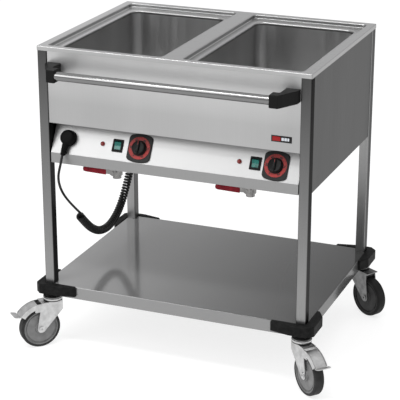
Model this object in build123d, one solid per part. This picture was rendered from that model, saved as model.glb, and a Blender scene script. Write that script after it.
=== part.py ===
"""Mobile two-well steam table, one STEP file for each sub-part, in millimetres.

The cart stands on the floor at z = 0, with the origin on the floor under its middle.
+X runs along the top to the right, -Y is the operator's front and +Z is up.
"""

from build123d import *
from math import atan2, cos, degrees, pi, radians, sin, tan
import os

os.makedirs("parts", exist_ok=True)

# ------------------------------------------------------------- overall sizes
TOP_LENGTH = 830.0
TOP_DEPTH = 624.0
TOP_HEIGHT = 940.0
SHEET = 1.5

# Clearances, each the room between two pieces along one direction
FIT = 0.1          # fixed pieces in their holes
RUNNING = 0.05     # shafts in their bores, on the radius
TURNING_GAP = 0.5  # between faces that turn past each other
PANEL_GAP = 2.5    # open joint between a panel and a leg

# Legs
LEG = 30.0
LEG_WALL = 1.5
LEG_CORNER = 3.0

# Top cover and wells
SKIRT = 13.0
COVER_CORNER = 4.0
RIM_BEND = 2.5
WELL_PITCH = 420.0
RECESS_LENGTH = 361.0
RECESS_DEPTH = 583.0
RECESS_CORNER = 12.0
RECESS_DROP = 13.3
RECESS_BEND = 5.0
LEDGE_BEND = 3.0
WELL_LENGTH = 312.0
WELL_DEPTH = 516.0
WELL_CORNER = 30.0
WELL_BEND = 6.0
COLLAR_DROP = 10.0
WELL_FLOOR = 720.0
WELL_FLOOR_BEND = 16.5
ELEMENT_RADIUS = 4.25
ELEMENT_SPACING = 70.0
ELEMENT_REACH = 190.0

# Housing under the wells
HOUSING_FOOT = 591.0
FLANGE = 15.0
SIDE_PANEL_INSET = 2.5
FRONT_INSET = 3.0
APRON_FOOT = 712.6
APRON_FLANGE_REACH = 66.0
PANEL_FOLD = 622.0
PANEL_SET_BACK = 50.0
PANEL_FLANGE = 28.0

# Control panel furniture, placed by x and by height up the slope from the fold
ROW_UP = 43.7
LAMP_X = (-222.4, 199.9)
SWITCH_X = (-174.4, 247.7)
DIAL_X = (-104.9, 308.4)
LAMP_RADIUS = 5.5
LAMP_COLLAR = 7.0
LAMP_COLLAR_HEIGHT = 2.0
LAMP_SHANK = 4.5
LAMP_SHANK_LENGTH = 15.0
SWITCH_FRAME = (33.0, 38.0, 3.0)
SWITCH_BODY = (25.0, 31.0, 20.0)
SWITCH_OPENING = (20.4, 26.2)
SWITCH_CORNER = 2.0
SWITCH_EDGE = 1.0
ROCKER_WIDTH = 19.6
ROCKER_RADIUS = 12.8
ROCKER_PIVOT_DEPTH = 4.0
ROCKER_PIN = 1.5
ROCKER_CREST = 6.0
ROCKER_FOOT = 5.0
ROCKER_TILT = 8.0
BEZEL = (73.0, 85.0, 4.5)
BEZEL_ARCH = 8.0
BEZEL_CORNER = 13.0
RING_OUTER = 33.0
RING_INNER = 23.0
RING_THICKNESS = 1.2
KNOB_RADIUS = 21.0
KNOB_HEIGHT = 15.5
KNOB_EDGE = 2.0
KNOB_TAPER = 1.5
POINTER = (7.0, 36.0, 3.0)
SHAFT_RADIUS = 3.0
BUSH_RADIUS = 5.0
THERMOSTAT = (42.0, 40.0, 26.0)

# Parking socket and plug
SOCKET_X = -331.0
SOCKET_UP = 47.0
SOCKET_FLANGE = 24.0
SOCKET_FLANGE_THICKNESS = 3.0
SOCKET_CUP = 20.0
SOCKET_CUP_DEPTH = 18.0
PLUG_RADIUS = 22.5
PLUG_HEAD = 20.0
PLUG_EDGE = 3.0
PLUG_LENGTH = 54.2
PLUG_LEAN = -8.0
PLUG_NECK = 9.5
PLUG_TIP = 6.5
PLUG_NECK_HEIGHT = 13.0
PLUG_TIP_HEIGHT = 10.0
PIN_RADIUS = 2.4
PIN_LENGTH = 15.0
PIN_SPACING = 19.0
PIN_PLAY = 0.2

# Badge on the apron
BADGE = (60.0, 0.8, 18.5)
BADGE_AT = (330.0, 747.5)

# Drains
DRAIN_Y = -221.0
DRAIN_RADIUS = 10.65
DRAIN_WALL = 2.0
NIPPLE_FOOT = 537.0
NIPPLE_RADIUS = 13.0
VALVE_AXIS_Z = 563.0
VALVE_RADIUS = 17.0
VALVE_HALF = 16.0
VALVE_HEX = 17.0
VALVE_HEX_HEIGHT = 11.0
VALVE_BORE = 6.0
BALL_RADIUS = 10.5
BALL_ROOM = 0.3
STEM_RADIUS = 4.0
BOSS_RADIUS = 8.0
BOSS_REACH = 25.0
LEVER_REACH = 30.0
LEVER_THICKNESS = 3.0
LEVER_HUB = 11.0
LEVER_WIDTH = 13.0
LEVER_LENGTH = 95.0
GRIP_START = 20.0
GRIP_END = 97.0
GRIP_WIDTH = 19.0
GRIP_THICKNESS = 8.0

# Push handle
HANDLE_RADIUS = 13.0
HANDLE_Z = 876.0
HANDLE_REACH = 69.5
BRACKET_HEIGHT = 37.0
BRACKET_INNER = 319.0
BRACKET_BLOCK = 34.0
BRACKET_BASE = (340.0, 382.0)
BRACKET_ARM = 18.0
BRACKET_NECK = 20.0
BRACKET_SLANT = (8.0, 12.0)
BRACKET_SHOULDER = 6.0
BRACKET_WALL = 1.5
SOCKET_DEPTH = 12.0
BRACKET_CORNER = 4.0
BRACKET_EDGE = 2.0

# Shelf, bumpers and castors
SHELF_TOP = 204.0
SHELF_SKIRT = 38.0
BUMPER_FOOT = 175.0
BUMPER_TOP = 206.0
BUMPER_SIDE_ARM = 108.0
BUMPER_FRONT_ARM = 104.0
BUMPER_END = 8.0
BUMPER_SIDE = 26.0
BUMPER_FRONT = 21.0
BUMPER_SIDE_TAPER = 32.0
BUMPER_FRONT_TAPER = 58.0
BUMPER_CHAMFER = 17.0
BUMPER_CORNER = 6.0
BUMPER_EDGE = 3.0
STEM_LENGTH = 62.0
STEM_PLAY = 0.3
HEAD_FOOT = 146.0
HEAD_TOP = 164.0
HEAD_RADIUS = 28.5
HEAD_EDGE = 2.0
KINGPIN_RADIUS = 6.0
KINGPIN_LENGTH = 14.0
WHEEL_RADIUS = 62.5
TYRE_WIDTH = 31.0
TYRE_EDGE = 6.0
RIM_RADIUS = 54.0
RIM_WIDTH = 28.0
RIM_LIP = 4.5
GROOVE = 3.5
GROOVE_WIDTH = 19.0
WEB_WIDTH = 24.0
HUB_RADIUS = 17.0
HUB_WIDTH = 35.0
HUB_DRAFT = 2.0
RIM_DRAFT = 1.0
AXLE_RADIUS = 6.0
TRAIL = 46.0
FORK_INSIDE = 18.5
FORK_SHEET = 2.5
FORK_EYE = 13.0
FORK_NOSE = 24.0
FORK_REAR = 47.0
FORK_SKIRT_FOOT = 118.0
FORK_TAIL = 58.0
BRAKED_CROWN = 44.0
WING_INNER = 66.0
WING_OUTER = 81.0
WING_END = 38.0
AXLE_HEAD = 8.5
AXLE_HEAD_HEIGHT = 2.0
AXLE_SOCKET = 3.5
CASTOR_TRAILS = {
    "front_left": 227.2,
    "front_right": -41.5,
    "rear_left": 100.0,
    "rear_right": -31.5,
}
PEDAL_PIVOT = (58.0, 134.0)
PEDAL_PIN = 2.5
PEDAL_EAR = 6.0
PEDAL_SHEET = 2.5
PEDAL_ARC = 80.5
PEDAL_START = 55.0
PEDAL_ARC_END = 37.0
PEDAL_TIP = (132.0, 117.0)
PEDAL_TREAD = 19.0
PEDAL_TREAD_HALF = 23.0
PEDAL_SIDE_GAP = 1.0

# Cord
CORD_RADIUS = 3.75
COIL_RADIUS = 13.0
COIL_OFFSET = 9.25
GLAND_Y = 242.0
GLAND_RADIUS = 11.0
GLAND_HEIGHT = 18.5
GLAND_DOME = 8.0
GLAND_EDGE = 2.0
GLAND_THREAD = 8.0
GLAND_THREAD_LENGTH = 9.0
COIL_X = -344.0
LEAD_POINTS = [
    (-339.2, -330.2, 596.4), (-339.9, -344.9, 570.8), (-340.4, -344.6, 548.1),
    (-341.0, -329.1, 516.4), (-341.9, -299.0, 482.0), (-343.0, -251.5, 439.5),
]
COIL_POINTS = [
    (COIL_X, -208.8, 394.0), (COIL_X, -170.0, 357.0), (COIL_X, -128.0, 323.5),
    (COIL_X, -80.0, 298.0), (COIL_X, -30.0, 287.5), (COIL_X, 15.0, 291.5),
    (COIL_X, 58.0, 309.0), (COIL_X, 93.0, 335.5), (COIL_X, 122.0, 370.0),
    (COIL_X, 150.0, 408.0), (COIL_X, 178.5, 450.0), (COIL_X, 205.0, 491.5),
]
TAIL_POINTS = [
    (COIL_X, 205.0, 491.5), (COIL_X, 228.5, 529.5), (COIL_X, 241.0, 552.5),
]

# Screws
SIDE_SCREW_Y = (-180.0, 200.0)
BACK_SCREW_X = (-260.0, 0.0, 260.0)
FRONT_SCREW_X = (-290.0, 20.0, 290.0)
SCREW_INSET = 10.0
SCREW_HEAD = 4.0
SCREW_HEAD_HEIGHT = 2.5
SCREW_SHANK = 2.0
SCREW_LENGTH = 8.0

# Places that follow from the sizes above
leg_out_x = TOP_LENGTH / 2 - SHEET
leg_out_y = TOP_DEPTH / 2 - SHEET
leg_x = leg_out_x - LEG / 2
leg_y = leg_out_y - LEG / 2
leg_in_x = leg_out_x - LEG
leg_in_y = leg_out_y - LEG
cover_underside = TOP_HEIGHT - SHEET
ledge_z = TOP_HEIGHT - RECESS_DROP
collar_foot = ledge_z - COLLAR_DROP
side_panel_x = leg_out_x - SIDE_PANEL_INSET
front_y = -(leg_out_y - FRONT_INSET)
back_y = -front_y
fold_y = front_y
panel_top_y = fold_y + PANEL_SET_BACK
wheel_z = WHEEL_RADIUS
pan_z = HOUSING_FOOT + SHEET
handle_y = front_y - HANDLE_REACH

slope = Plane(
    origin=(0, fold_y, PANEL_FOLD),
    x_dir=(1, 0, 0),
    z_dir=(0, -(APRON_FOOT - PANEL_FOLD), PANEL_SET_BACK),
)

TINY = 1e-3

parts = {}


# ------------------------------------------------------------------- helpers
def block(x, y, z):
    """Box between two corners, each axis given as a (low, high) pair."""
    size = [high - low for low, high in (x, y, z)]
    centre = [(high + low) / 2 for low, high in (x, y, z)]
    return Pos(*centre) * Box(*size)


def rounded_block(x, y, z, radius):
    """Box with its four upright edges rounded."""
    body = block(x, y, z)
    return fillet(body.edges().filter_by(Axis.Z), radius)


def around(centre, size):
    """The (low, high) pair of a length about its middle."""
    return (centre - size / 2, centre + size / 2)


def rod(radius, start, end):
    """Round bar between two points."""
    span = Vector(*end) - Vector(*start)
    place = Plane(origin=start, z_dir=span)
    return extrude(place * Circle(radius), span.length)


def edges_level(body, z, x, y):
    """Edges of a body that lie at one height inside a rectangle."""
    def inside(edge):
        box = edge.bounding_box()
        level = abs(box.min.Z - z) < TINY and abs(box.max.Z - z) < TINY
        across = x[0] - TINY < box.min.X and box.max.X < x[1] + TINY
        along = y[0] - TINY < box.min.Y and box.max.Y < y[1] + TINY
        return level and across and along
    return body.edges().filter_by(inside)


def strip(points, x):
    """Folded sheet: the (y, z) points of its outer face, thickened on their left and drawn along X."""
    outer = [Vector(y, z) for y, z in points]
    runs = [(b - a).normalized() for a, b in zip(outer, outer[1:])]
    normals = [Vector(-run.Y, run.X) for run in runs]
    inner = [outer[0] + normals[0] * SHEET]
    for point, before, after in zip(outer[1:], normals, normals[1:]):
        inner.append(point + (before + after) * (SHEET / (1 + before.dot(after))))
    inner.append(outer[-1] + normals[-1] * SHEET)
    outline = Polyline(*[(p.X, p.Y) for p in outer + inner[::-1]], close=True)
    sheet = extrude(make_face(Plane.YZ * outline), x[1] - x[0])
    return Pos(x[0], 0, 0) * sheet


def on_slope(x, up):
    """Place on the control panel's slope, with local Z pointing out of it."""
    return slope.location * Pos(x, up, 0)


def cord_tube(name, points, radius):
    """Tube along straight runs joined by tangent arcs."""
    points = [Vector(*point) for point in points]
    radii = []
    for before, here, after in zip(points, points[1:], points[2:]):
        run_in = here - before
        run_out = after - here
        turn = radians(run_in.get_angle(run_out))
        radii.append(0.45 * min(run_in.length, run_out.length) / tan(turn / 2))
    path = FilletPolyline(*points, radius=radii) if radii else Line(*points)
    start = Plane(origin=path @ 0, z_dir=path % 0)
    tube = sweep(start * Circle(radius), path=path)
    expected = pi * radius**2 * path.length
    print(name, "radii", [round(r) for r in radii], "length", round(path.length, 1),
          "volume ratio", round(tube.volume / expected, 5))
    return tube


# ---------------------------------------------------------------- sheet metal
def top_cover():
    half_x = TOP_LENGTH / 2
    half_y = TOP_DEPTH / 2
    foot = TOP_HEIGHT - SKIRT
    cover = rounded_block((-half_x, half_x), (-half_y, half_y), (foot, TOP_HEIGHT), COVER_CORNER)
    cover = fillet(cover.faces().sort_by(Axis.Z)[-1].edges(), RIM_BEND)
    cover -= rounded_block((-half_x + SHEET, half_x - SHEET), (-half_y + SHEET, half_y - SHEET),
                           (foot - SHEET, cover_underside), COVER_CORNER - SHEET)
    for side in (-1, 1):
        centre = side * WELL_PITCH / 2
        recess_x = around(centre, RECESS_LENGTH)
        recess_y = around(0, RECESS_DEPTH)
        well_x = around(centre, WELL_LENGTH)
        well_y = around(0, WELL_DEPTH)
        pan_x = around(centre, RECESS_LENGTH + 2 * SHEET)
        pan_y = around(0, RECESS_DEPTH + 2 * SHEET)
        collar_x = around(centre, WELL_LENGTH + 2 * SHEET)
        collar_y = around(0, WELL_DEPTH + 2 * SHEET)
        cover += rounded_block(pan_x, pan_y, (ledge_z - SHEET, TOP_HEIGHT), RECESS_CORNER + SHEET)
        cover = fillet(edges_level(cover, cover_underside, pan_x, pan_y), RECESS_BEND - SHEET)
        cover += rounded_block(collar_x, collar_y, (collar_foot, ledge_z), WELL_CORNER + SHEET)
        cover = fillet(edges_level(cover, ledge_z - SHEET, collar_x, collar_y), WELL_BEND - SHEET)
        cover -= rounded_block(recess_x, recess_y, (ledge_z, TOP_HEIGHT + SHEET), RECESS_CORNER)
        cover -= rounded_block(well_x, well_y, (collar_foot - SHEET, TOP_HEIGHT), WELL_CORNER)
        cover = fillet(edges_level(cover, TOP_HEIGHT, recess_x, recess_y), RECESS_BEND)
        cover = fillet(edges_level(cover, ledge_z, well_x, well_y), WELL_BEND)
        outline = edges_level(cover, ledge_z, recess_x, recess_y)
        outline = outline.filter_by(
            lambda e: abs(e.center().Y) > WELL_DEPTH / 2 + 2 * WELL_BEND
            or abs(e.center().X - centre) > WELL_LENGTH / 2 + 2 * WELL_BEND
        )
        cover = fillet(outline, LEDGE_BEND)
    return cover


def well(side):
    centre = side * WELL_PITCH / 2
    outer = rounded_block(around(centre, WELL_LENGTH + 2 * SHEET), around(0, WELL_DEPTH + 2 * SHEET),
                          (WELL_FLOOR - SHEET, collar_foot), WELL_CORNER + SHEET)
    outer = fillet(outer.faces().sort_by(Axis.Z)[0].edges(), WELL_FLOOR_BEND + SHEET)
    inner = rounded_block(around(centre, WELL_LENGTH), around(0, WELL_DEPTH),
                          (WELL_FLOOR, collar_foot + 2 * WELL_FLOOR_BEND), WELL_CORNER)
    inner = fillet(inner.faces().sort_by(Axis.Z)[0].edges(), WELL_FLOOR_BEND)
    drain = rod(DRAIN_RADIUS + FIT, (centre, DRAIN_Y, WELL_FLOOR - 2 * SHEET),
                (centre, DRAIN_Y, WELL_FLOOR + SHEET))
    return outer - inner - drain


def leg(right, rear):
    x = (right * leg_x)
    y = (rear * leg_y)
    foot = SHELF_TOP
    tube = rounded_block(around(x, LEG), around(y, LEG), (foot, cover_underside), LEG_CORNER)
    bore = LEG - 2 * LEG_WALL
    tube -= rounded_block(around(x, bore), around(y, bore), (foot - LEG, TOP_HEIGHT),
                          LEG_CORNER - LEG_WALL)
    notch = RECESS_BEND + TURNING_GAP
    pan_x = around(right * WELL_PITCH / 2, RECESS_LENGTH + 2 * SHEET + 2 * notch)
    pan_y = around(0, RECESS_DEPTH + 2 * SHEET + 2 * notch)
    return tube - block(pan_x, pan_y, (ledge_z - SHEET - TURNING_GAP, TOP_HEIGHT))


def front_apron():
    rear = front_y + APRON_FLANGE_REACH
    return strip([(front_y, cover_underside), (front_y, APRON_FOOT), (rear, APRON_FOOT)],
                 (-leg_in_x, leg_in_x))


def flange_screw_places():
    """Screws up through the housing's bottom flanges: (x, y) of each."""
    along_sides = [(right * (side_panel_x - FLANGE / 2), y) for right in (-1, 1)
                   for y in SIDE_SCREW_Y]
    along_back = [(x, back_y - FLANGE / 2) for x in BACK_SCREW_X]
    along_front = [(x, front_y + PANEL_FLANGE - SCREW_INSET) for x in FRONT_SCREW_X]
    return along_sides + along_back + along_front


def pierced(body):
    """Cut the flange screws' holes in whatever they pass through."""
    for x, y in flange_screw_places():
        body -= rod(SCREW_SHANK + FIT, (x, y, HOUSING_FOOT - SHEET), (x, y, pan_z + 2 * SHEET))
    return body


def side_panel(right):
    face = block((side_panel_x - SHEET, side_panel_x), (-leg_in_y, leg_in_y),
                 (HOUSING_FOOT, cover_underside))
    flange = block((side_panel_x - FLANGE, side_panel_x), (-leg_in_y, leg_in_y),
                   (HOUSING_FOOT, pan_z))
    panel = face + flange
    return pierced(panel if right > 0 else mirror(panel, about=Plane.YZ))


def back_panel():
    sheet = strip([(back_y - FLANGE, HOUSING_FOOT), (back_y, HOUSING_FOOT), (back_y, cover_underside)],
                  (-leg_in_x, leg_in_x))
    return pierced(sheet)


def control_panel():
    length = (-leg_in_x + PANEL_GAP, leg_in_x - PANEL_GAP)
    rear = front_y + APRON_FLANGE_REACH
    sheet = strip([(rear, APRON_FOOT), (panel_top_y, APRON_FOOT), (fold_y, PANEL_FOLD),
                   (fold_y, HOUSING_FOOT), (fold_y + PANEL_FLANGE, HOUSING_FOOT)], length)
    for x in LAMP_X:
        sheet -= on_slope(x, ROW_UP) * Cylinder(LAMP_SHANK + FIT, 4 * SHEET)
    for x in SWITCH_X:
        wide, tall, _ = SWITCH_BODY
        sheet -= on_slope(x, ROW_UP) * Box(wide + 2 * FIT, tall + 2 * FIT, 4 * SHEET)
    for x in DIAL_X:
        sheet -= on_slope(x, ROW_UP) * Cylinder(BUSH_RADIUS + FIT, 4 * SHEET)
    sheet -= on_slope(SOCKET_X, SOCKET_UP) * Cylinder(SOCKET_CUP + FIT, 4 * SHEET)
    return pierced(sheet)


def base_pan():
    half_x = side_panel_x - SHEET - PANEL_GAP
    rear = back_y - SHEET - SHEET
    front = front_y + SHEET + PANEL_GAP
    sheet = block((-half_x, half_x), (front, rear), (pan_z, pan_z + SHEET))
    for right in (-1, 1):
        for back in (-1, 1):
            room = LEG + 2 * TURNING_GAP
            sheet -= block(around(right * leg_x, room), around(back * leg_y, room),
                           (pan_z - SHEET, pan_z + 2 * SHEET))
        drain_x = right * WELL_PITCH / 2
        sheet -= rod(DRAIN_RADIUS + TURNING_GAP, (drain_x, DRAIN_Y, pan_z - SHEET),
                     (drain_x, DRAIN_Y, pan_z + 2 * SHEET))
    sheet -= rod(GLAND_THREAD + FIT, (COIL_X, GLAND_Y, pan_z - SHEET),
                 (COIL_X, GLAND_Y, pan_z + 2 * SHEET))
    return pierced(sheet)


def shelf():
    half_x = TOP_LENGTH / 2
    half_y = TOP_DEPTH / 2
    foot = SHELF_TOP - SHELF_SKIRT
    tray = rounded_block((-half_x, half_x), (-half_y, half_y), (foot, SHELF_TOP), COVER_CORNER)
    tray = fillet(tray.faces().sort_by(Axis.Z)[-1].edges(), RIM_BEND)
    tray -= rounded_block((-half_x + SHEET, half_x - SHEET), (-half_y + SHEET, half_y - SHEET),
                          (foot - SHEET, SHELF_TOP - SHEET), COVER_CORNER - SHEET)
    hole = LEG - 2 * LEG_WALL
    for right in (-1, 1):
        for rear in (-1, 1):
            tray -= block(around(right * leg_x, hole), around(rear * leg_y, hole),
                          (foot, SHELF_TOP + SHEET))
    return tray


def corner_bumpers():
    """Angle buffers that wrap the shelf's corners, thickest at the side of the corner."""
    x0 = TOP_LENGTH / 2
    y0 = TOP_DEPTH / 2
    outline = Polyline(
        (x0, -y0 + BUMPER_SIDE_ARM),
        (x0 + BUMPER_END, -y0 + BUMPER_SIDE_ARM),
        (x0 + BUMPER_SIDE, -y0 + BUMPER_SIDE_ARM - BUMPER_SIDE_TAPER),
        (x0 + BUMPER_SIDE, -y0 - BUMPER_FRONT + BUMPER_CHAMFER),
        (x0 + BUMPER_SIDE - BUMPER_CHAMFER, -y0 - BUMPER_FRONT),
        (x0 - BUMPER_FRONT_ARM + BUMPER_FRONT_TAPER, -y0 - BUMPER_FRONT),
        (x0 - BUMPER_FRONT_ARM, -y0 - BUMPER_END),
        (x0 - BUMPER_FRONT_ARM, -y0),
        (x0, -y0),
        close=True,
    )
    body = extrude(Pos(0, 0, BUMPER_FOOT) * make_face(outline), BUMPER_TOP - BUMPER_FOOT)
    corners = [edge for edge in body.edges().filter_by(Axis.Z)
               if edge.center().X > x0 + BUMPER_END + FIT]
    body = fillet(corners, BUMPER_CORNER)
    body = chamfer(body.faces().sort_by(Axis.Z)[-1].edges().filter_by(
        lambda e: e.center().X > x0 + 1 or e.center().Y < -y0 - 1), BUMPER_EDGE)
    left = mirror(body, about=Plane.YZ)
    front = [body, left]
    return front + [mirror(piece, about=Plane.XZ) for piece in front]


# -------------------------------------------------------------- wells' fittings
def drain_pipes():
    pipes = []
    for side in (-1, 1):
        x = side * WELL_PITCH / 2
        foot = VALVE_AXIS_Z + VALVE_HALF + SHEET
        pipe = rod(DRAIN_RADIUS, (x, DRAIN_Y, foot), (x, DRAIN_Y, WELL_FLOOR))
        pipe -= rod(DRAIN_RADIUS - DRAIN_WALL, (x, DRAIN_Y, foot - 1), (x, DRAIN_Y, WELL_FLOOR + 1))
        pipes.append(pipe)
    return pipes


def heating_elements():
    elements = []
    z = WELL_FLOOR - SHEET - ELEMENT_RADIUS - FIT
    near = ELEMENT_SPACING / 2
    far = 1.5 * ELEMENT_SPACING
    for side in (-1, 1):
        path = FilletPolyline(
            (-far, -ELEMENT_REACH), (-far, ELEMENT_REACH), (-near, ELEMENT_REACH),
            (-near, -ELEMENT_REACH + near), (near, -ELEMENT_REACH + near),
            (near, ELEMENT_REACH), (far, ELEMENT_REACH), (far, -ELEMENT_REACH),
            radius=near - 1,
        )
        path = Pos(side * WELL_PITCH / 2, 0, z) * path
        start = Plane(origin=path @ 0, z_dir=path % 0)
        elements.append(sweep(start * Circle(ELEMENT_RADIUS), path=path))
    return elements


def valve_body(side):
    """Upright ball valve: nipple, round body with the ball's chamber, hexagon and stem boss."""
    x = side * WELL_PITCH / 2
    middle = (x, DRAIN_Y, VALVE_AXIS_Z)
    low = VALVE_AXIS_Z - VALVE_HALF
    high = VALVE_AXIS_Z + VALVE_HALF
    body = rod(NIPPLE_RADIUS, (x, DRAIN_Y, NIPPLE_FOOT), (x, DRAIN_Y, low))
    body += rod(VALVE_RADIUS, (x, DRAIN_Y, low), (x, DRAIN_Y, high))
    hexagon = Pos(x, DRAIN_Y, high) * RegularPolygon(VALVE_HEX, 6)
    body += extrude(hexagon, VALVE_HEX_HEIGHT)
    body += rod(BOSS_RADIUS, middle, (x, DRAIN_Y - BOSS_REACH, VALVE_AXIS_Z))
    top = high + VALVE_HEX_HEIGHT
    body -= rod(VALVE_BORE, (x, DRAIN_Y, NIPPLE_FOOT - 1), (x, DRAIN_Y, top + 1))
    body -= rod(DRAIN_RADIUS + FIT, (x, DRAIN_Y, high + SHEET - FIT), (x, DRAIN_Y, top + 1))
    body -= Pos(*middle) * Sphere(BALL_RADIUS + BALL_ROOM)
    body -= rod(STEM_RADIUS + RUNNING, middle, (x, DRAIN_Y - BOSS_REACH - 1, VALVE_AXIS_Z))
    return body


def valve_lever(side):
    """Ball, stem and flat lever, which turn as one; the ball's bore lies across when shut."""
    x = side * WELL_PITCH / 2
    middle = (x, DRAIN_Y, VALVE_AXIS_Z)
    ball = Pos(*middle) * Sphere(BALL_RADIUS)
    ball += rod(STEM_RADIUS, middle, (x, DRAIN_Y - LEVER_REACH - LEVER_THICKNESS, VALVE_AXIS_Z))
    ball -= rod(VALVE_BORE, (x - 2 * BALL_RADIUS, DRAIN_Y, VALVE_AXIS_Z),
                (x + 2 * BALL_RADIUS, DRAIN_Y, VALVE_AXIS_Z))
    lever_y = (DRAIN_Y - LEVER_REACH - LEVER_THICKNESS / 2, DRAIN_Y - LEVER_REACH + LEVER_THICKNESS / 2)
    hub = rod(LEVER_HUB, (x, lever_y[0], VALVE_AXIS_Z), (x, lever_y[1], VALVE_AXIS_Z))
    arm = block((x - LEVER_LENGTH, x), lever_y, around(VALVE_AXIS_Z, LEVER_WIDTH))
    return ball + hub + arm


def valve_grip(side):
    x = side * WELL_PITCH / 2
    y = DRAIN_Y - LEVER_REACH
    grip = block((x - GRIP_END, x - GRIP_START), around(y, GRIP_THICKNESS),
                 around(VALVE_AXIS_Z, GRIP_WIDTH))
    grip = fillet(grip.edges(), GRIP_THICKNESS / 2.5)
    return grip - block((x - LEVER_LENGTH, x), around(y, LEVER_THICKNESS),
                        around(VALVE_AXIS_Z, LEVER_WIDTH))


# -------------------------------------------------------- control panel's pieces
def pilot_lamps():
    lamps = []
    for x in LAMP_X:
        lamp = Pos(0, 0, -LAMP_SHANK_LENGTH / 2) * Cylinder(LAMP_SHANK, LAMP_SHANK_LENGTH)
        lamp += Pos(0, 0, LAMP_COLLAR_HEIGHT / 2) * Cylinder(LAMP_COLLAR, LAMP_COLLAR_HEIGHT)
        dome = Pos(0, 0, LAMP_COLLAR_HEIGHT) * Sphere(LAMP_RADIUS)
        above = Pos(0, 0, LAMP_COLLAR_HEIGHT + LAMP_RADIUS) * Box(*[2 * LAMP_RADIUS] * 3)
        lamp += dome & above
        lamps.append(on_slope(x, ROW_UP) * lamp)
    return lamps


def switch_frames():
    frames = []
    for x in SWITCH_X:
        wide, tall, thick = SWITCH_FRAME
        body_wide, body_tall, deep = SWITCH_BODY
        frame = Pos(0, 0, thick / 2) * Box(wide, tall, thick)
        frame = fillet(frame.edges().filter_by(Axis.Z), SWITCH_CORNER)
        frame = chamfer(frame.faces().sort_by(Axis.Z)[-1].edges(), SWITCH_EDGE)
        frame += Pos(0, 0, -deep / 2) * Box(body_wide, body_tall, deep)
        room = deep - SHEET
        frame -= Pos(0, 0, thick - (room + thick) / 2) * Box(*SWITCH_OPENING, room + thick)
        pin = Pos(0, 0, -ROCKER_PIVOT_DEPTH) * Rot(0, 90, 0) * Cylinder(ROCKER_PIN, body_wide - SHEET)
        frames.append(on_slope(x, ROW_UP) * (frame + pin))
    return frames


def rocker(x):
    """Paddle with a hollowed top, cut from a cylinder about its pivot and tilted to one end."""
    crest = ROCKER_CREST
    rise = ROCKER_RADIUS * tan(radians(ROCKER_TILT))
    outline = Polyline((-ROCKER_RADIUS, -ROCKER_FOOT), (ROCKER_RADIUS, -ROCKER_FOOT),
                       (ROCKER_RADIUS, crest + rise), (0, crest), (-ROCKER_RADIUS, crest + rise),
                       close=True)
    paddle = extrude(Plane.YZ * make_face(outline), ROCKER_WIDTH / 2, both=True)
    across = Rot(0, 90, 0)
    paddle &= across * Cylinder(ROCKER_RADIUS, 2 * ROCKER_WIDTH)
    paddle -= across * Cylinder(ROCKER_PIN + RUNNING, 2 * ROCKER_WIDTH)
    pivot = Pos(0, 0, -ROCKER_PIVOT_DEPTH)
    return on_slope(x, ROW_UP) * pivot * Rot(ROCKER_TILT, 0, 0) * paddle


def dial_bezels():
    bezels = []
    wide, tall, thick = BEZEL
    for x in DIAL_X:
        side = tall / 2 - BEZEL_ARCH
        upper = ThreePointArc((-wide / 2, side), (0, tall / 2), (wide / 2, side))
        right = Line((wide / 2, side), (wide / 2, -side))
        lower = ThreePointArc((wide / 2, -side), (0, -tall / 2), (-wide / 2, -side))
        left = Line((-wide / 2, -side), (-wide / 2, side))
        plate = extrude(make_face([upper, right, lower, left]), thick)
        plate = fillet(plate.edges().filter_by(Axis.Z), BEZEL_CORNER)
        plate = fillet(plate.faces().sort_by(Axis.Z)[-1].edges(), thick / 3)
        plate -= Cylinder(BUSH_RADIUS + FIT, 4 * thick)
        bezels.append(on_slope(x, ROW_UP) * plate)
    return bezels


def dial_rings():
    rings = []
    for x in DIAL_X:
        ring = Cylinder(RING_OUTER, RING_THICKNESS) - Cylinder(RING_INNER, 2 * RING_THICKNESS)
        rings.append(on_slope(x, ROW_UP) * Pos(0, 0, BEZEL[2] + RING_THICKNESS / 2) * ring)
    return rings


def knob(x):
    foot = BEZEL[2] + RING_THICKNESS + TURNING_GAP
    body = Cone(KNOB_RADIUS, KNOB_RADIUS - KNOB_TAPER, KNOB_HEIGHT - POINTER[2])
    body = fillet(body.edges().sort_by(Axis.Z)[-1], KNOB_EDGE)
    body = Pos(0, 0, foot + (KNOB_HEIGHT - POINTER[2]) / 2) * body
    ridge = Box(*POINTER)
    ridge = fillet(ridge.edges().filter_by(Axis.Z), POINTER[0] / 3)
    body += Pos(0, 0, foot + KNOB_HEIGHT - POINTER[2] / 2) * ridge
    shaft_foot = -THERMOSTAT[2] / 2
    shaft = Pos(0, 0, (foot + shaft_foot) / 2) * Cylinder(SHAFT_RADIUS, foot - shaft_foot)
    return on_slope(x, ROW_UP) * (body + shaft)


def thermostats():
    bodies = []
    wide, tall, deep = THERMOSTAT
    for x in DIAL_X:
        body = Pos(0, 0, -SHEET - deep / 2) * Box(wide, tall, deep)
        bush_top = BEZEL[2]
        body += Pos(0, 0, (bush_top - SHEET) / 2) * Cylinder(BUSH_RADIUS, bush_top + SHEET)
        bore_foot = -THERMOSTAT[2] / 2 - TURNING_GAP
        bore_top = bush_top + 1
        body -= Pos(0, 0, (bore_top + bore_foot) / 2) * Cylinder(SHAFT_RADIUS + RUNNING,
                                                                 bore_top - bore_foot)
        bodies.append(on_slope(x, ROW_UP) * body)
    return bodies


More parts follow.
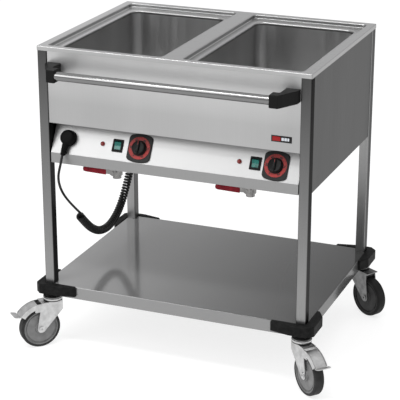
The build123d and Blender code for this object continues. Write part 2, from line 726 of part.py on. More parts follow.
def parking_socket():
    flange = Pos(0, 0, SOCKET_FLANGE_THICKNESS / 2) * Cylinder(SOCKET_FLANGE, SOCKET_FLANGE_THICKNESS)
    cup = Pos(0, 0, -SOCKET_CUP_DEPTH / 2) * Cylinder(SOCKET_CUP, SOCKET_CUP_DEPTH)
    body = flange + cup
    for pin in (-1, 1):
        place = Rot(0, 0, PLUG_LEAN) * Pos(pin * PIN_SPACING / 2, 0, 0)
        body -= place * Cylinder(PIN_RADIUS + PIN_PLAY, 2 * PIN_LENGTH)
    return on_slope(SOCKET_X, SOCKET_UP) * body


def plug():
    """Side-entry plug: a round head on the socket and a neck that runs down the slope."""
    foot = SOCKET_FLANGE_THICKNESS
    head = Cylinder(PLUG_RADIUS, PLUG_HEAD)
    head = fillet(head.edges().sort_by(Axis.Z)[-1], PLUG_EDGE)
    body = Pos(0, 0, foot + PLUG_HEAD / 2) * head
    start = Vector(0, 0, PLUG_NECK_HEIGHT)
    end = Vector(0, -PLUG_LENGTH, PLUG_TIP_HEIGHT)
    run = end - start
    neck = Cone(PLUG_NECK, PLUG_TIP, run.length)
    body += Plane(origin=(start + end) * 0.5, z_dir=run).location * neck
    for pin in (-1, 1):
        length = PIN_LENGTH - 1
        body += Pos(pin * PIN_SPACING / 2, 0, foot - length / 2) * Cylinder(PIN_RADIUS, length)
    return on_slope(SOCKET_X, SOCKET_UP) * Rot(0, 0, PLUG_LEAN) * body


def badge():
    x, z = BADGE_AT
    wide, thick, tall = BADGE
    return block(around(x, wide), (front_y - thick, front_y), around(z, tall))


# ------------------------------------------------------------------ push handle
def handle_bar():
    end = BRACKET_INNER + SOCKET_DEPTH
    return rod(HANDLE_RADIUS, (-end, handle_y, HANDLE_Z), (end, handle_y, HANDLE_Z))


def bracket_screw_places(right):
    x = right * (BRACKET_BASE[0] + BRACKET_BASE[1]) / 2
    return [(x, HANDLE_Z + up * BRACKET_HEIGHT / 4) for up in (-1, 1)]


def handle_bracket(right):
    nose = handle_y - HANDLE_RADIUS - BRACKET_WALL
    back = handle_y + HANDLE_RADIUS + BRACKET_SHOULDER
    inner = BRACKET_INNER
    slant_x, slant_y = BRACKET_SLANT
    base_inner, base_outer = BRACKET_BASE
    outline = Polyline(
        (inner, nose),
        (inner + BRACKET_BLOCK - slant_x, nose),
        (inner + BRACKET_BLOCK, nose + slant_y),
        (base_outer, front_y - BRACKET_ARM),
        (base_outer, front_y),
        (base_inner, front_y),
        (base_inner, front_y - BRACKET_ARM),
        (inner + BRACKET_NECK, back),
        (inner, back),
        close=True,
    )
    z = HANDLE_Z - BRACKET_HEIGHT / 2
    body = extrude(Pos(0, 0, z) * make_face(outline), BRACKET_HEIGHT)
    upright = [edge for edge in body.edges().filter_by(Axis.Z) if edge.center().Y < front_y - 1]
    body = fillet(upright, BRACKET_CORNER)
    body = chamfer([edge for face in body.faces().sort_by(Axis.Z)[-1:] + body.faces().sort_by(Axis.Z)[:1]
                    for edge in face.edges() if edge.center().Y < front_y - 1], BRACKET_EDGE)
    body -= rod(HANDLE_RADIUS + FIT, (inner - 1, handle_y, HANDLE_Z),
                (inner + SOCKET_DEPTH + FIT, handle_y, HANDLE_Z))
    body = body if right > 0 else mirror(body, about=Plane.YZ)
    for x, screw_z in bracket_screw_places(right):
        body -= rod(SCREW_SHANK + FIT, (x, front_y + 1, screw_z), (x, front_y - SCREW_LENGTH - 1, screw_z))
    return body


def screws():
    """Pan-head screws: up through the housing flanges, and out through the apron to the brackets."""
    made = []
    for x, y in flange_screw_places():
        head = rod(SCREW_HEAD, (x, y, HOUSING_FOOT - SCREW_HEAD_HEIGHT), (x, y, HOUSING_FOOT))
        made.append(head + rod(SCREW_SHANK, (x, y, HOUSING_FOOT), (x, y, pan_z + 3 * SHEET)))
    inside = front_y + SHEET
    for right in (-1, 1):
        for x, z in bracket_screw_places(right):
            head = rod(SCREW_HEAD, (x, inside + SCREW_HEAD_HEIGHT, z), (x, inside, z))
            made.append(head + rod(SCREW_SHANK, (x, inside, z), (x, front_y - SCREW_LENGTH, z)))
    return made


# ---------------------------------------------------------------------- castors
def castor_mount(x, y):
    """Bearing head, square spacer inside the shelf's skirt and expander stem up the leg."""
    head = rod(HEAD_RADIUS, (x, y, HEAD_FOOT), (x, y, HEAD_TOP))
    head = chamfer(head.edges().filter_by(GeomType.CIRCLE), HEAD_EDGE)
    body = head + rounded_block(around(x, LEG), around(y, LEG), (HEAD_TOP, SHELF_TOP - SHEET), LEG_CORNER)
    stem = LEG - 2 * LEG_WALL - 2 * STEM_PLAY
    body += rounded_block(around(x, stem), around(y, stem),
                          (SHELF_TOP - SHEET, SHELF_TOP + STEM_LENGTH), LEG_CORNER - LEG_WALL)
    return body - rod(KINGPIN_RADIUS + RUNNING, (x, y, HEAD_FOOT - 1),
                      (x, y, HEAD_FOOT + KINGPIN_LENGTH + TURNING_GAP))


def cheek_outline(braked):
    """Side of the fork in (along the trail, up): a leg down to the eye, and on a braked one a wing
    that follows the tyre."""
    top = HEAD_FOOT - TURNING_GAP
    rear = BRAKED_CROWN if braked else FORK_REAR
    eye = Pos(TRAIL, wheel_z) * Circle(FORK_EYE)
    skirt = Pos((rear - FORK_NOSE) / 2, (top + FORK_SKIRT_FOOT) / 2) * Rectangle(
        rear + FORK_NOSE, top - FORK_SKIRT_FOOT)
    cheek = make_hull((eye + skirt).edges())
    if braked:
        far = 2 * WING_OUTER
        ray = (far * cos(radians(WING_END)), far * sin(radians(WING_END)))
        sector = make_face(Polyline((0, 0), ray, (0, far), close=True))
        wing = (Circle(WING_OUTER) - Circle(WING_INNER)) & sector
        cheek += Pos(TRAIL, wheel_z) * wing
        shoulder = Rectangle(BRAKED_CROWN - PEDAL_EAR, top - FORK_SKIRT_FOOT)
        cheek += Pos(TRAIL, top - (top - FORK_SKIRT_FOOT) / 2) * shoulder & (
            Pos(TRAIL, wheel_z) * Circle(WING_OUTER))
    return cheek


def castor_fork(braked):
    """Fork at the origin, trailing along +X: crown, two cheeks, kingpin, axle and brake pin."""
    crown_top = HEAD_FOOT - TURNING_GAP
    crown_foot = crown_top - FORK_SHEET
    outside = FORK_INSIDE + FORK_SHEET
    cheek = extrude(Plane.XZ * cheek_outline(braked), FORK_SHEET)
    fork = Pos(0, -FORK_INSIDE, 0) * cheek
    fork += Pos(0, outside, 0) * cheek
    tail = BRAKED_CROWN if braked else FORK_TAIL
    fork += block((-FORK_NOSE, tail), (-outside, outside), (crown_foot, crown_top))
    fork += rod(HEAD_RADIUS - HEAD_EDGE, (0, 0, crown_foot), (0, 0, crown_top))
    fork += rod(KINGPIN_RADIUS, (0, 0, crown_top), (0, 0, HEAD_FOOT + KINGPIN_LENGTH))
    axle = rod(AXLE_RADIUS, (TRAIL, -outside, wheel_z), (TRAIL, outside, wheel_z))
    for side in (-1, 1):
        fork -= rod(AXLE_RADIUS + FIT, (TRAIL, side * (FORK_INSIDE - 1), wheel_z),
                    (TRAIL, side * (outside + 1), wheel_z))
        end = side * (outside + AXLE_HEAD_HEIGHT)
        axle += rod(AXLE_HEAD, (TRAIL, side * outside, wheel_z), (TRAIL, end, wheel_z))
        socket = Plane(origin=(TRAIL, end, wheel_z), z_dir=(0, -side, 0)) * RegularPolygon(AXLE_SOCKET, 6)
        axle -= extrude(socket, AXLE_HEAD_HEIGHT)
    if braked:
        pivot_x, pivot_z = PEDAL_PIVOT
        fork += rod(PEDAL_PIN, (pivot_x, -outside, pivot_z), (pivot_x, outside, pivot_z))
    return [fork, axle]


def brake_pedal():
    """Curved foot lever between the fork's wings, at the origin and trailing along +X."""
    tip_x, tip_z = PEDAL_TIP
    pivot_x, pivot_z = PEDAL_PIVOT
    half = FORK_INSIDE - PEDAL_SIDE_GAP
    inner = PEDAL_ARC - PEDAL_SHEET

    def at_angle(radius, angle):
        return (TRAIL + radius * cos(radians(angle)), wheel_z + radius * sin(radians(angle)))

    start = degrees(atan2(pivot_z - wheel_z, PEDAL_START - TRAIL))
    middle = (start + PEDAL_ARC_END) / 2
    top = ThreePointArc(at_angle(PEDAL_ARC, start), at_angle(PEDAL_ARC, middle),
                        at_angle(PEDAL_ARC, PEDAL_ARC_END))
    foot = ThreePointArc(at_angle(inner, PEDAL_ARC_END), at_angle(inner, middle),
                         at_angle(inner, start))
    edge = Polyline(at_angle(PEDAL_ARC, PEDAL_ARC_END), (tip_x, tip_z),
                    (tip_x, tip_z - PEDAL_SHEET), at_angle(inner, PEDAL_ARC_END))
    back = Line(at_angle(inner, start), at_angle(PEDAL_ARC, start))
    profile = make_face([top, edge, foot, back])
    plate = extrude(Plane.XZ * profile, half, both=True)
    tread = extrude(Plane.XZ * profile, PEDAL_TREAD_HALF, both=True)
    tread &= block((tip_x - PEDAL_TREAD, tip_x), (-PEDAL_TREAD_HALF, PEDAL_TREAD_HALF), (0, HEAD_TOP))
    upright = [e for e in tread.edges().filter_by(Axis.Z) if e.center().X > tip_x - 1]
    pedal = plate + fillet(upright, PEDAL_TREAD_HALF / 3)
    eye = Pos(pivot_x, pivot_z) * Circle(PEDAL_EAR)
    seat = Pos(pivot_x + PEDAL_EAR, pivot_z + PEDAL_SHEET) * Rectangle(PEDAL_EAR, PEDAL_EAR)
    ear = extrude(Plane.XZ * make_hull((eye + seat).edges()), PEDAL_SHEET)
    pedal += Pos(0, -half + PEDAL_SHEET, 0) * ear + Pos(0, half, 0) * ear
    return pedal - rod(PEDAL_PIN + RUNNING, (pivot_x, -2 * half, pivot_z), (pivot_x, 2 * half, pivot_z))


def wheel_hub():
    """Hub, web with a ring groove and raised rim, about the Y axis at the fork's axle."""
    lip = RIM_RADIUS - RIM_LIP
    groove = lip - GROOVE
    half = [(AXLE_RADIUS + RUNNING, HUB_WIDTH / 2), (HUB_RADIUS, HUB_WIDTH / 2),
            (HUB_RADIUS + HUB_DRAFT, WEB_WIDTH / 2), (groove - RIM_DRAFT, WEB_WIDTH / 2),
            (groove, GROOVE_WIDTH / 2),
            (lip, GROOVE_WIDTH / 2), (lip + RIM_DRAFT, RIM_WIDTH / 2), (RIM_RADIUS, RIM_WIDTH / 2)]
    outline = Polyline(*half, *[(x, -y) for x, y in half[::-1]], close=True)
    return Pos(TRAIL, 0, wheel_z) * revolve(make_face(outline), Axis.Y)


def tyre():
    ring = Cylinder(WHEEL_RADIUS, TYRE_WIDTH)
    ring = fillet(ring.edges().filter_by(GeomType.CIRCLE), TYRE_EDGE)
    ring -= Cylinder(RIM_RADIUS + RUNNING, 2 * TYRE_WIDTH)
    return Pos(TRAIL, 0, wheel_z) * Rot(90, 0, 0) * ring


# ------------------------------------------------------------------------- cord
def cord_route():
    """Lead from the plug's tip to the upper side of the coil's first turn, and tail to the gland."""
    tip = on_slope(SOCKET_X, SOCKET_UP) * Rot(0, 0, PLUG_LEAN) * Pos(0, -PLUG_LENGTH, PLUG_TIP_HEIGHT)
    first = Vector(*COIL_POINTS[0])
    along = (Vector(*COIL_POINTS[1]) - first).normalized()
    upper = Vector(0, -along.Z, along.Y)
    lead = [tuple(tip.position), *LEAD_POINTS, tuple(first + upper * COIL_OFFSET)]
    tail = [*TAIL_POINTS, (COIL_X, GLAND_Y, HOUSING_FOOT + SHEET - GLAND_HEIGHT)]
    return lead, tail


def cord_gland():
    foot = pan_z - GLAND_HEIGHT
    nut_foot = foot + GLAND_DOME
    body = rod(GLAND_RADIUS - GLAND_EDGE, (COIL_X, GLAND_Y, foot), (COIL_X, GLAND_Y, nut_foot))
    body = chamfer(body.edges().sort_by(Axis.Z)[0], GLAND_EDGE)
    nut = Pos(COIL_X, GLAND_Y, nut_foot) * RegularPolygon(GLAND_RADIUS, 6)
    body += extrude(nut, pan_z - nut_foot)
    return body + rod(GLAND_THREAD, (COIL_X, GLAND_Y, pan_z),
                      (COIL_X, GLAND_Y, pan_z + GLAND_THREAD_LENGTH))


# -------------------------------------------------------------------- all pieces
def build():
    parts["top_cover"] = top_cover()
    parts["front_apron"] = front_apron()
    for name, right in (("left", -1), ("right", 1)):
        for end, rear in (("front", -1), ("rear", 1)):
            parts[f"leg_{end}_{name}"] = leg(right, rear)
        parts[f"well_{name}"] = well(right)
        parts[f"side_panel_{name}"] = side_panel(right)
        parts[f"valve_body_{name}"] = valve_body(right)
        parts[f"valve_lever_{name}"] = valve_lever(right)
        parts[f"valve_grip_{name}"] = valve_grip(right)
        parts[f"handle_bracket_{name}"] = handle_bracket(right)
    apron_holes = []
    for right in (-1, 1):
        for x, z in bracket_screw_places(right):
            apron_holes.append(rod(SCREW_SHANK + FIT, (x, front_y - 1, z), (x, front_y + SHEET + 1, z)))
    parts["front_apron"] -= apron_holes
    parts["back_panel"] = back_panel()
    parts["control_panel"] = control_panel()
    parts["base_pan"] = base_pan()
    parts["shelf"] = shelf()
    parts["corner_bumpers"] = corner_bumpers()
    parts["drain_pipes"] = drain_pipes()
    parts["heating_elements"] = heating_elements()
    parts["pilot_lamps"] = pilot_lamps()
    parts["switch_frames"] = switch_frames()
    for name, x in zip(("left", "right"), SWITCH_X):
        parts[f"rocker_{name}"] = rocker(x)
    parts["dial_bezels"] = dial_bezels()
    parts["dial_rings"] = dial_rings()
    parts["thermostats"] = thermostats()
    for name, x in zip(("left", "right"), DIAL_X):
        parts[f"knob_{name}"] = knob(x)
    parts["parking_socket"] = parking_socket()
    parts["plug"] = plug()
    parts["badge"] = badge()
    parts["handle_bar"] = handle_bar()
    parts["screws"] = screws()
    for name, trail in CASTOR_TRAILS.items():
        end, side = name.split("_")
        x = leg_x if side == "right" else -leg_x
        y = leg_y if end == "rear" else -leg_y
        place = Pos(x, y, 0) * Rot(0, 0, trail)
        parts[f"castor_mount_{name}"] = castor_mount(x, y)
        parts[f"castor_fork_{name}"] = [place * piece for piece in castor_fork(end == "front")]
        parts[f"wheel_hub_{name}"] = place * wheel_hub()
        parts[f"tyre_{name}"] = place * tyre()
        if end == "front":
            parts[f"brake_pedal_{name}"] = place * brake_pedal()
    lead, tail = cord_route()
    parts["cord_lead"] = [cord_tube("lead", lead, CORD_RADIUS), cord_tube("tail", tail, CORD_RADIUS)]
    parts["cord_coil"] = cord_tube("coil", COIL_POINTS, COIL_RADIUS)
    parts["cord_gland"] = cord_gland()


def write():
    for name, shape in parts.items():
        pieces = shape if isinstance(shape, (list, ShapeList)) else [shape]
        solids = [solid for piece in pieces for solid in piece.solids()]
        export_step(Compound(children=solids), f"parts/{name}.step")
    print(len(parts), "nodes")


build()
write()
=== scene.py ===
# %% [markdown]
# # A two-well steam table in Blender
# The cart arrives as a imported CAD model: every sheet, leg and castor already has its true
# size and place. What is left is to finish it. Steel gets its grain, plastic its moulded
# skin, and the small things that CAD leaves plain, such as the curly cord, the dials'
# scales or the plug's ribs, are made as real meshes. Lengths are in metres, +X runs
# to the right of the operator's side, -Y faces the operator and the floor is z = 0.

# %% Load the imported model
import math

import bmesh
import bpy
from mathutils import Matrix, Vector


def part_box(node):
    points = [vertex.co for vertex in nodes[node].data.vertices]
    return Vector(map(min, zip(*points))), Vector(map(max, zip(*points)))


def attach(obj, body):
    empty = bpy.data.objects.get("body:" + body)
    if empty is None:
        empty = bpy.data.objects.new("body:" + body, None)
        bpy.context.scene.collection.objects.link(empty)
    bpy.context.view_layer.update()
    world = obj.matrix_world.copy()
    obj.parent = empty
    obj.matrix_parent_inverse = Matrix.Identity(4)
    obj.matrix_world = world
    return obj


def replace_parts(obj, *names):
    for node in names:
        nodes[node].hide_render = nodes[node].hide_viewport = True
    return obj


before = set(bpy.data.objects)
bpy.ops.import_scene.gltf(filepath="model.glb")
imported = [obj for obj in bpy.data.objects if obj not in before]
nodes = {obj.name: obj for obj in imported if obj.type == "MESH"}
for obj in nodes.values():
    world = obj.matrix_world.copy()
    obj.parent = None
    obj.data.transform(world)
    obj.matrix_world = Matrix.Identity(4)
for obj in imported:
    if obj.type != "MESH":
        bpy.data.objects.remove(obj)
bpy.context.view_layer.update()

# %% [markdown]
# ## Camera
# A long lens from far away keeps the uprights nearly parallel. The camera stands to the
# operator's right and looks down on the wells. Its angles are in degrees, and the small
# shift frames the cart without turning the camera.

# %% Camera
LENS, SENSOR = 136.53, 36.0
CAMERA_AT = (1.6080, -4.0523, 2.0189)
CAMERA_TILT, CAMERA_TURN = 69.90, 22.11
CAMERA_SHIFT = (0.0023, -0.0024)
camera_data = bpy.data.cameras.new("camera")
camera_data.lens = LENS
camera_data.sensor_width = SENSOR
camera_data.shift_x, camera_data.shift_y = CAMERA_SHIFT
camera = bpy.data.objects.new("camera", camera_data)
camera.location = CAMERA_AT
camera.rotation_euler = (math.radians(CAMERA_TILT), 0.0, math.radians(CAMERA_TURN))
bpy.context.scene.collection.objects.link(camera)
bpy.context.scene.camera = camera
print("camera looks from", tuple(camera.location))

# %% [markdown]
# ## Cord: the route
# The cord is one flexible thing: a short straight tail from the gland under the housing,
# a curly stretch that sags below it, and a plain lead up to the plug, which is parked in
# its socket. The coil's middle line comes first. It is a NURBS curve with listed
# control points, because such a curve bends smoothly with few points and no kinks.

# %% Route points
COIL_X = -0.344
TAIL_ROUTE = [(COIL_X, 0.242, 0.574), (COIL_X, 0.241, 0.5525), (COIL_X, 0.2285, 0.5295)]
COIL_ROUTE = [
    (COIL_X, 0.205, 0.4915), (COIL_X, 0.1785, 0.450), (COIL_X, 0.150, 0.408),
    (COIL_X, 0.122, 0.370), (COIL_X, 0.093, 0.3355), (COIL_X, 0.058, 0.309),
    (COIL_X, 0.015, 0.2915), (COIL_X, -0.030, 0.2875), (COIL_X, -0.080, 0.298),
    (COIL_X, -0.128, 0.3235), (COIL_X, -0.170, 0.357), (COIL_X, -0.2088, 0.394),
]
LEAD_ROUTE = [
    (-0.3430, -0.2515, 0.4395), (-0.3419, -0.2990, 0.4820), (-0.3410, -0.3291, 0.5164),
    (-0.3404, -0.3446, 0.5481), (-0.3399, -0.3449, 0.5708), (-0.3392, -0.3302, 0.5964),
    (-0.3385, -0.3195, 0.6210),
]


def smooth_line(name, points, resolution=12):
    """Curve object of one NURBS spline that bends inside its control points."""
    data = bpy.data.curves.new(name, "CURVE")
    data.dimensions = "3D"
    data.resolution_u = resolution
    spline = data.splines.new("NURBS")
    spline.points.add(len(points) - 1)
    for point, place in zip(spline.points, points):
        point.co = (*place, 1.0)
    spline.order_u = 3
    spline.use_endpoint_u = True
    line = bpy.data.objects.new(name, data)
    bpy.context.scene.collection.objects.link(line)
    return line


def read_line(line):
    """Points along a curve object, read from the mesh that Blender makes of it."""
    depsgraph = bpy.context.evaluated_depsgraph_get()
    mesh = bpy.data.meshes.new_from_object(line.evaluated_get(depsgraph))
    points = [vertex.co.copy() for vertex in mesh.vertices]
    bpy.data.meshes.remove(mesh)
    return points


coil_line = smooth_line("coil_line", COIL_ROUTE)
middle = read_line(coil_line)
bpy.data.objects.remove(coil_line)
travelled = [0.0]
for before, after in zip(middle, middle[1:]):
    travelled.append(travelled[-1] + (after - before).length)
coil_span = travelled[-1]
print("coil's middle line", round(coil_span, 4), "m from", len(middle), "points")

# %% [markdown]
# ## Cord: the curls
# A curly cord is a helix wrapped round the middle line. A loop walks along that line in
# small steps and puts one control point per step, fifteen to a turn, on a circle across
# it. The curls lie almost shut in the hanging belly and are drawn open towards the top,
# where they carry the weight of the rest, so the pitch changes along the way. The
# radius starts small, where the curls grow out of the straight tail, and at the end the
# pitch widens where the curls run out into the straight lead.

# %% Helix of curls
CORD_DIAMETER = 0.0075
CURL_RADIUS = 0.00925
POINTS_PER_TURN = 15
SHUT_PITCH = 0.0089
OPEN_PITCH = 0.0096
LEAD_PITCH = 0.020
FIRST_CURL, LAST_CURL = 0.004, 0.002
DRAWN_OPEN, SHUT_BELOW = 0.05, 0.33
RUN_IN, RUN_OUT = 0.016, 0.007
SMALLEST_CURL = 0.15
corner_cut = (1 + math.cos(math.tau / POINTS_PER_TURN)) / 2


def at_distance(distance):
    """Place and direction on the middle line, some way along it."""
    i = next(i for i in range(len(middle) - 1) if travelled[i + 1] >= distance)
    run = middle[i + 1] - middle[i]
    share = (distance - travelled[i]) / run.length
    return middle[i] + run * share, run.normalized()


def ease(value, low, high):
    """0 below low, 1 above high and a soft step between."""
    share = min(1.0, max(0.0, (value - low) / (high - low)))
    return share * share * (3 - 2 * share)


curls = []
distance, turn = FIRST_CURL, 0.0
across = Vector((1, 0, 0))
while distance < coil_span - LAST_CURL:
    opened = 1 - ease(distance, DRAWN_OPEN, SHUT_BELOW)
    pitch = SHUT_PITCH + (OPEN_PITCH - SHUT_PITCH) * opened
    pitch += (LEAD_PITCH - SHUT_PITCH) * (1 - ease(coil_span - distance, 0.0, RUN_OUT))
    fullness = SMALLEST_CURL + (1 - SMALLEST_CURL) * ease(distance, 0.0, RUN_IN)
    radius = CURL_RADIUS / corner_cut * fullness
    place, along = at_distance(distance)
    upward = Vector((0, along.z, -along.y))
    curls.append(place + upward * (radius * math.cos(turn)) + across * (radius * math.sin(turn)))
    turn += math.tau / POINTS_PER_TURN
    distance += pitch / POINTS_PER_TURN
print("turns of the coil", round(turn / math.tau, 1))

# %% Cord as one bevelled curve
cord_points = [*TAIL_ROUTE, *[tuple(point) for point in curls], *LEAD_ROUTE]
cord = smooth_line("cord", cord_points, resolution=4)
cord.data.bevel_depth = CORD_DIAMETER / 2
cord.data.bevel_resolution = 3
cord.data.use_fill_caps = True
line = smooth_line("cord_line", cord_points, resolution=4)
walk = read_line(line)
bpy.data.objects.remove(line)

# %% [markdown]
# ## Materials: a base to build on
# One helper makes a Principled material and sets the numbers that are the same all over
# straight on the shader. A second adds what varies: a noise, stretched along one
# direction if the finish was brushed, feeds the roughness and a very small bump.
# Object coordinates keep the grain at its real size on every piece.

# %% Material helpers
PATCH_EDGES = (0.32, 0.68)


def rgb(colour):
    """Three numbers for a colour that may be given as one grey."""
    return (colour,) * 3 if isinstance(colour, (int, float)) else colour


def finish(name, colour, metallic=0.0, roughness=0.5, **sockets):
    """Principled material with its even values set on the shader itself."""
    made = bpy.data.materials.new(name)
    made.use_nodes = True
    shader = made.node_tree.nodes["Principled BSDF"]
    shader.inputs["Base Color"].default_value = (*rgb(colour), 1.0)
    shader.inputs["Metallic"].default_value = metallic
    shader.inputs["Roughness"].default_value = roughness
    for socket, value in sockets.items():
        shader.inputs[socket.replace("_", " ")].default_value = value
    return made


def add(material, kind, **settings):
    """New node in a material's tree, with its plain settings."""
    node = material.node_tree.nodes.new(kind)
    for setting, value in settings.items():
        setattr(node, setting, value)
    return node


def wire(material, *pairs):
    """Links from each output to its input."""
    for source, target in pairs:
        material.node_tree.links.new(source, target)


def shader_of(material):
    return material.node_tree.nodes["Principled BSDF"]


def noise(material, scale, detail=3.0, seed=0.0):
    """Noise on object coordinates, stretched by a scale for each axis."""
    coordinates = add(material, "ShaderNodeTexCoord")
    mapping = add(material, "ShaderNodeMapping")
    mapping.inputs["Scale"].default_value = scale
    mapping.inputs["Location"].default_value = (seed, seed * 0.7, seed * 1.3)
    texture = add(material, "ShaderNodeTexNoise")
    texture.inputs["Scale"].default_value = 1.0
    texture.inputs["Detail"].default_value = detail
    wire(material, (coordinates.outputs["Object"], mapping.inputs["Vector"]),
         (mapping.outputs["Vector"], texture.inputs["Vector"]))
    return texture.outputs["Fac"]


def ranged(material, value, low, high, start=0.3, end=0.7):
    """A value between start and end, spread over low to high."""
    node = add(material, "ShaderNodeMapRange")
    node.inputs["From Min"].default_value = start
    node.inputs["From Max"].default_value = end
    node.inputs["To Min"].default_value = low
    node.inputs["To Max"].default_value = high
    wire(material, (value, node.inputs["Value"]))
    return node.outputs["Result"]


def uneven(material, scale, roughness, depth, detail=3.0):
    """Roughness that wanders between two values, and a bump of a given depth in metres."""
    field = noise(material, scale, detail)
    shader = shader_of(material)
    wire(material, (ranged(material, field, *roughness), shader.inputs["Roughness"]))
    bump = add(material, "ShaderNodeBump")
    bump.inputs["Strength"].default_value = 1.0
    bump.inputs["Distance"].default_value = depth
    wire(material, (field, bump.inputs["Height"]),
         (bump.outputs["Normal"], shader.inputs["Normal"]))
    return material


def mottled(material, first, second, scale, detail=3.0):
    """Base colour that drifts between two colours over a noise."""
    field = noise(material, scale, detail, seed=4.0)
    ramp = add(material, "ShaderNodeValToRGB")
    for element, place, colour in zip(ramp.color_ramp.elements, PATCH_EDGES, (first, second)):
        element.position = place
        element.color = (*rgb(colour), 1.0)
    wire(material, (field, ramp.inputs["Fac"]),
         (ramp.outputs["Color"], shader_of(material).inputs["Base Color"]))
    return material


print("material helpers ready")

# %% [markdown]
# ## Stainless steel
# Brushed stainless is a metal with fine parallel scratches, so its highlights smear
# across them. Light and shade are painted into the steel's colour: the helper takes one
# tone each for faces that look at the operator, to the sides and up, and blends them by
# the face's own direction, so a sheet is painted lighter or darker with the way it faces.
# Broad bands of slightly different tone wander over the sheet at random. A tone can also
# fade from one end of a piece to the other. Such a fade is a painted reflection of a room
# that isn't equally bright all round. `TURNING` says how far a face turns while its tone
# changes over.

# %% Brushed steel
TURNING = (0.2, 0.9)


def steel(name, front, side, top, grain, roughness=(0.3, 0.42), edge=1.0, metal=1.0,
          fade=None, front_fade=None, top_fade=None, bands=(5, 5, 0.6), drift=0.04, depth=2e-6):
    """Brushed stainless with a painted tone each for the front, the sides and the top, and an
    edge tint for grazing views.

    fade is (axis, low, high, share at low, share at high): painted shade over the whole piece.
    front_fade and top_fade are (axis, low, high, tone at low, tone at high): painted light and
    shade that replace the even tone of the faces that look to the front or up.
    """
    made = finish(name, front, metallic=metal, Specular_Tint=(edge, edge, edge, 1.0))
    uneven(made, grain, roughness, depth)
    coordinates = add(made, "ShaderNodeTexCoord")
    facing = add(made, "ShaderNodeSeparateXYZ")
    place = add(made, "ShaderNodeSeparateXYZ")
    wire(made, (coordinates.outputs["Normal"], facing.inputs["Vector"]),
         (coordinates.outputs["Object"], place.inputs["Vector"]))
    # The tone picked by the face's direction is painted light and shade.
    sideways = add(made, "ShaderNodeMath", operation="ABSOLUTE")
    wire(made, (facing.outputs["X"], sideways.inputs[0]))
    tone = ranged(made, sideways.outputs[0], front, side, *TURNING)
    mix = add(made, "ShaderNodeMix", data_type="FLOAT")
    wire(made, (ranged(made, facing.outputs["Z"], 0.0, 1.0, *TURNING), mix.inputs["Factor"]),
         (tone, mix.inputs["A"]))
    mix.inputs["B"].default_value = top
    for faded, socket in ((front_fade, tone.node.inputs["To Min"]), (top_fade, mix.inputs["B"])):
        if faded:
            axis, low, high, first, last = faded
            wire(made, (ranged(made, place.outputs[axis], first, last, low, high), socket))
    tone = mix.outputs["Result"]
    # Random bands of tone, and the painted fade where one is given, scale the tone.
    factors = [ranged(made, noise(made, bands, 2.0, seed=9.0), 1 - drift, 1 + drift)]
    if fade:
        axis, low, high, first, last = fade
        factors.append(ranged(made, place.outputs[axis], first, last, low, high))
    for factor in factors:
        times = add(made, "ShaderNodeMath", operation="MULTIPLY")
        wire(made, (tone, times.inputs[0]), (factor, times.inputs[1]))
        tone = times.outputs[0]
    wire(made, (tone, shader_of(made).inputs["Base Color"]))
    return made


ALONG_Z = (900, 900, 6)
ALONG_X = (6, 900, 900)
# Each steel's front, side and top tones, and its fades, are painted light and shade. The cover
# carries painted shade that darkens its front-facing walls towards the back, and painted light
# that brightens its top at the left rim.
cover_steel = steel("cover_steel", 0.42, 0.30, 0.47, ALONG_X, (0.26, 0.36), bands=(2, 2, 2),
                    front_fade=("Y", -0.32, 0.26, 0.44, 0.22),
                    top_fade=("X", -0.36, -0.3, 0.62, 0.45))
# The apron carries painted light that brightens it towards the top.
apron_steel = steel("apron_steel", 0.41, 0.3, 0.45, ALONG_Z, (0.4, 0.5), bands=(4, 4, 1),
                    drift=0.06, front_fade=("Z", 0.78, 0.86, 0.415, 0.54))
panel_steel = steel("panel_steel", 0.30, 0.4, 0.57, ALONG_Z, (0.38, 0.48), drift=0.02)
# The side and back panels take darker tones: painted shade.
side_steel = steel("side_steel", 0.22, 0.15, 0.2, ALONG_Z, (0.34, 0.44), edge=0.55, drift=0.07)
# The front legs carry painted shade that darkens them with height.
leg_steel = steel("leg_steel", 0.26, 0.05, 0.2, ALONG_Z, (0.26, 0.38), edge=0.45,
                  fade=("Z", 0.3, 0.95, 1.0, 0.27))
# The far legs take tones of their own: painted light and shade.
far_leg_steel = steel("far_leg_steel", 0.29, 0.16, 0.2, ALONG_Z, (0.26, 0.38), edge=0.4)
# The shelf's top carries painted shade that darkens it towards the right.
shelf_steel = steel("shelf_steel", 0.26, 0.17, 0.25, ALONG_X, (0.1, 0.15), edge=0.6, metal=0.55,
                    bands=(2.2, 0.8, 2), drift=0.05, top_fade=("X", -0.42, 0.42, 0.42, 0.09))
well_steel = steel("well_steel", 0.47, 0.47, 0.47, (40, 40, 2), (0.3, 0.4), edge=0.8,
                   bands=(4, 4, 0.8), drift=0.14, depth=4e-6)
under_steel = steel("under_steel", 0.25, 0.2, 0.25, ALONG_X)
bar_steel = steel("bar_steel", 0.2, 0.2, 0.3, ALONG_X, (0.14, 0.18), edge=0.6, drift=0.01)
print("steels", [m.name for m in bpy.data.materials if m.name.endswith("steel")])

# %% [markdown]
# ## Zinc, brass, rubber and plastics
# The castors' forks are pressed from zinc-plated sheet, which has a cloudy spangle. The
# valves are nickel-plated brass. Bumpers, tyres, cord and plug are black rubber or PVC,
# each with its own roughness: a bumper is coarse and scuffed, a cord jacket is satin. The
# rear castors stand in the cart's shade, so their zinc, rims and tyres are darker copies
# that carry painted shade, and the castor mounts under the bumpers take the same shaded zinc.

# %% Other finishes
def plain(name, colour, grain, roughness, depth, shine=0.5, metallic=0.0, **sockets):
    """One colour all over, with only its roughness and its bump uneven."""
    made = finish(name, colour, metallic, Specular_IOR_Level=shine, **sockets)
    return uneven(made, (grain,) * 3, roughness, depth)


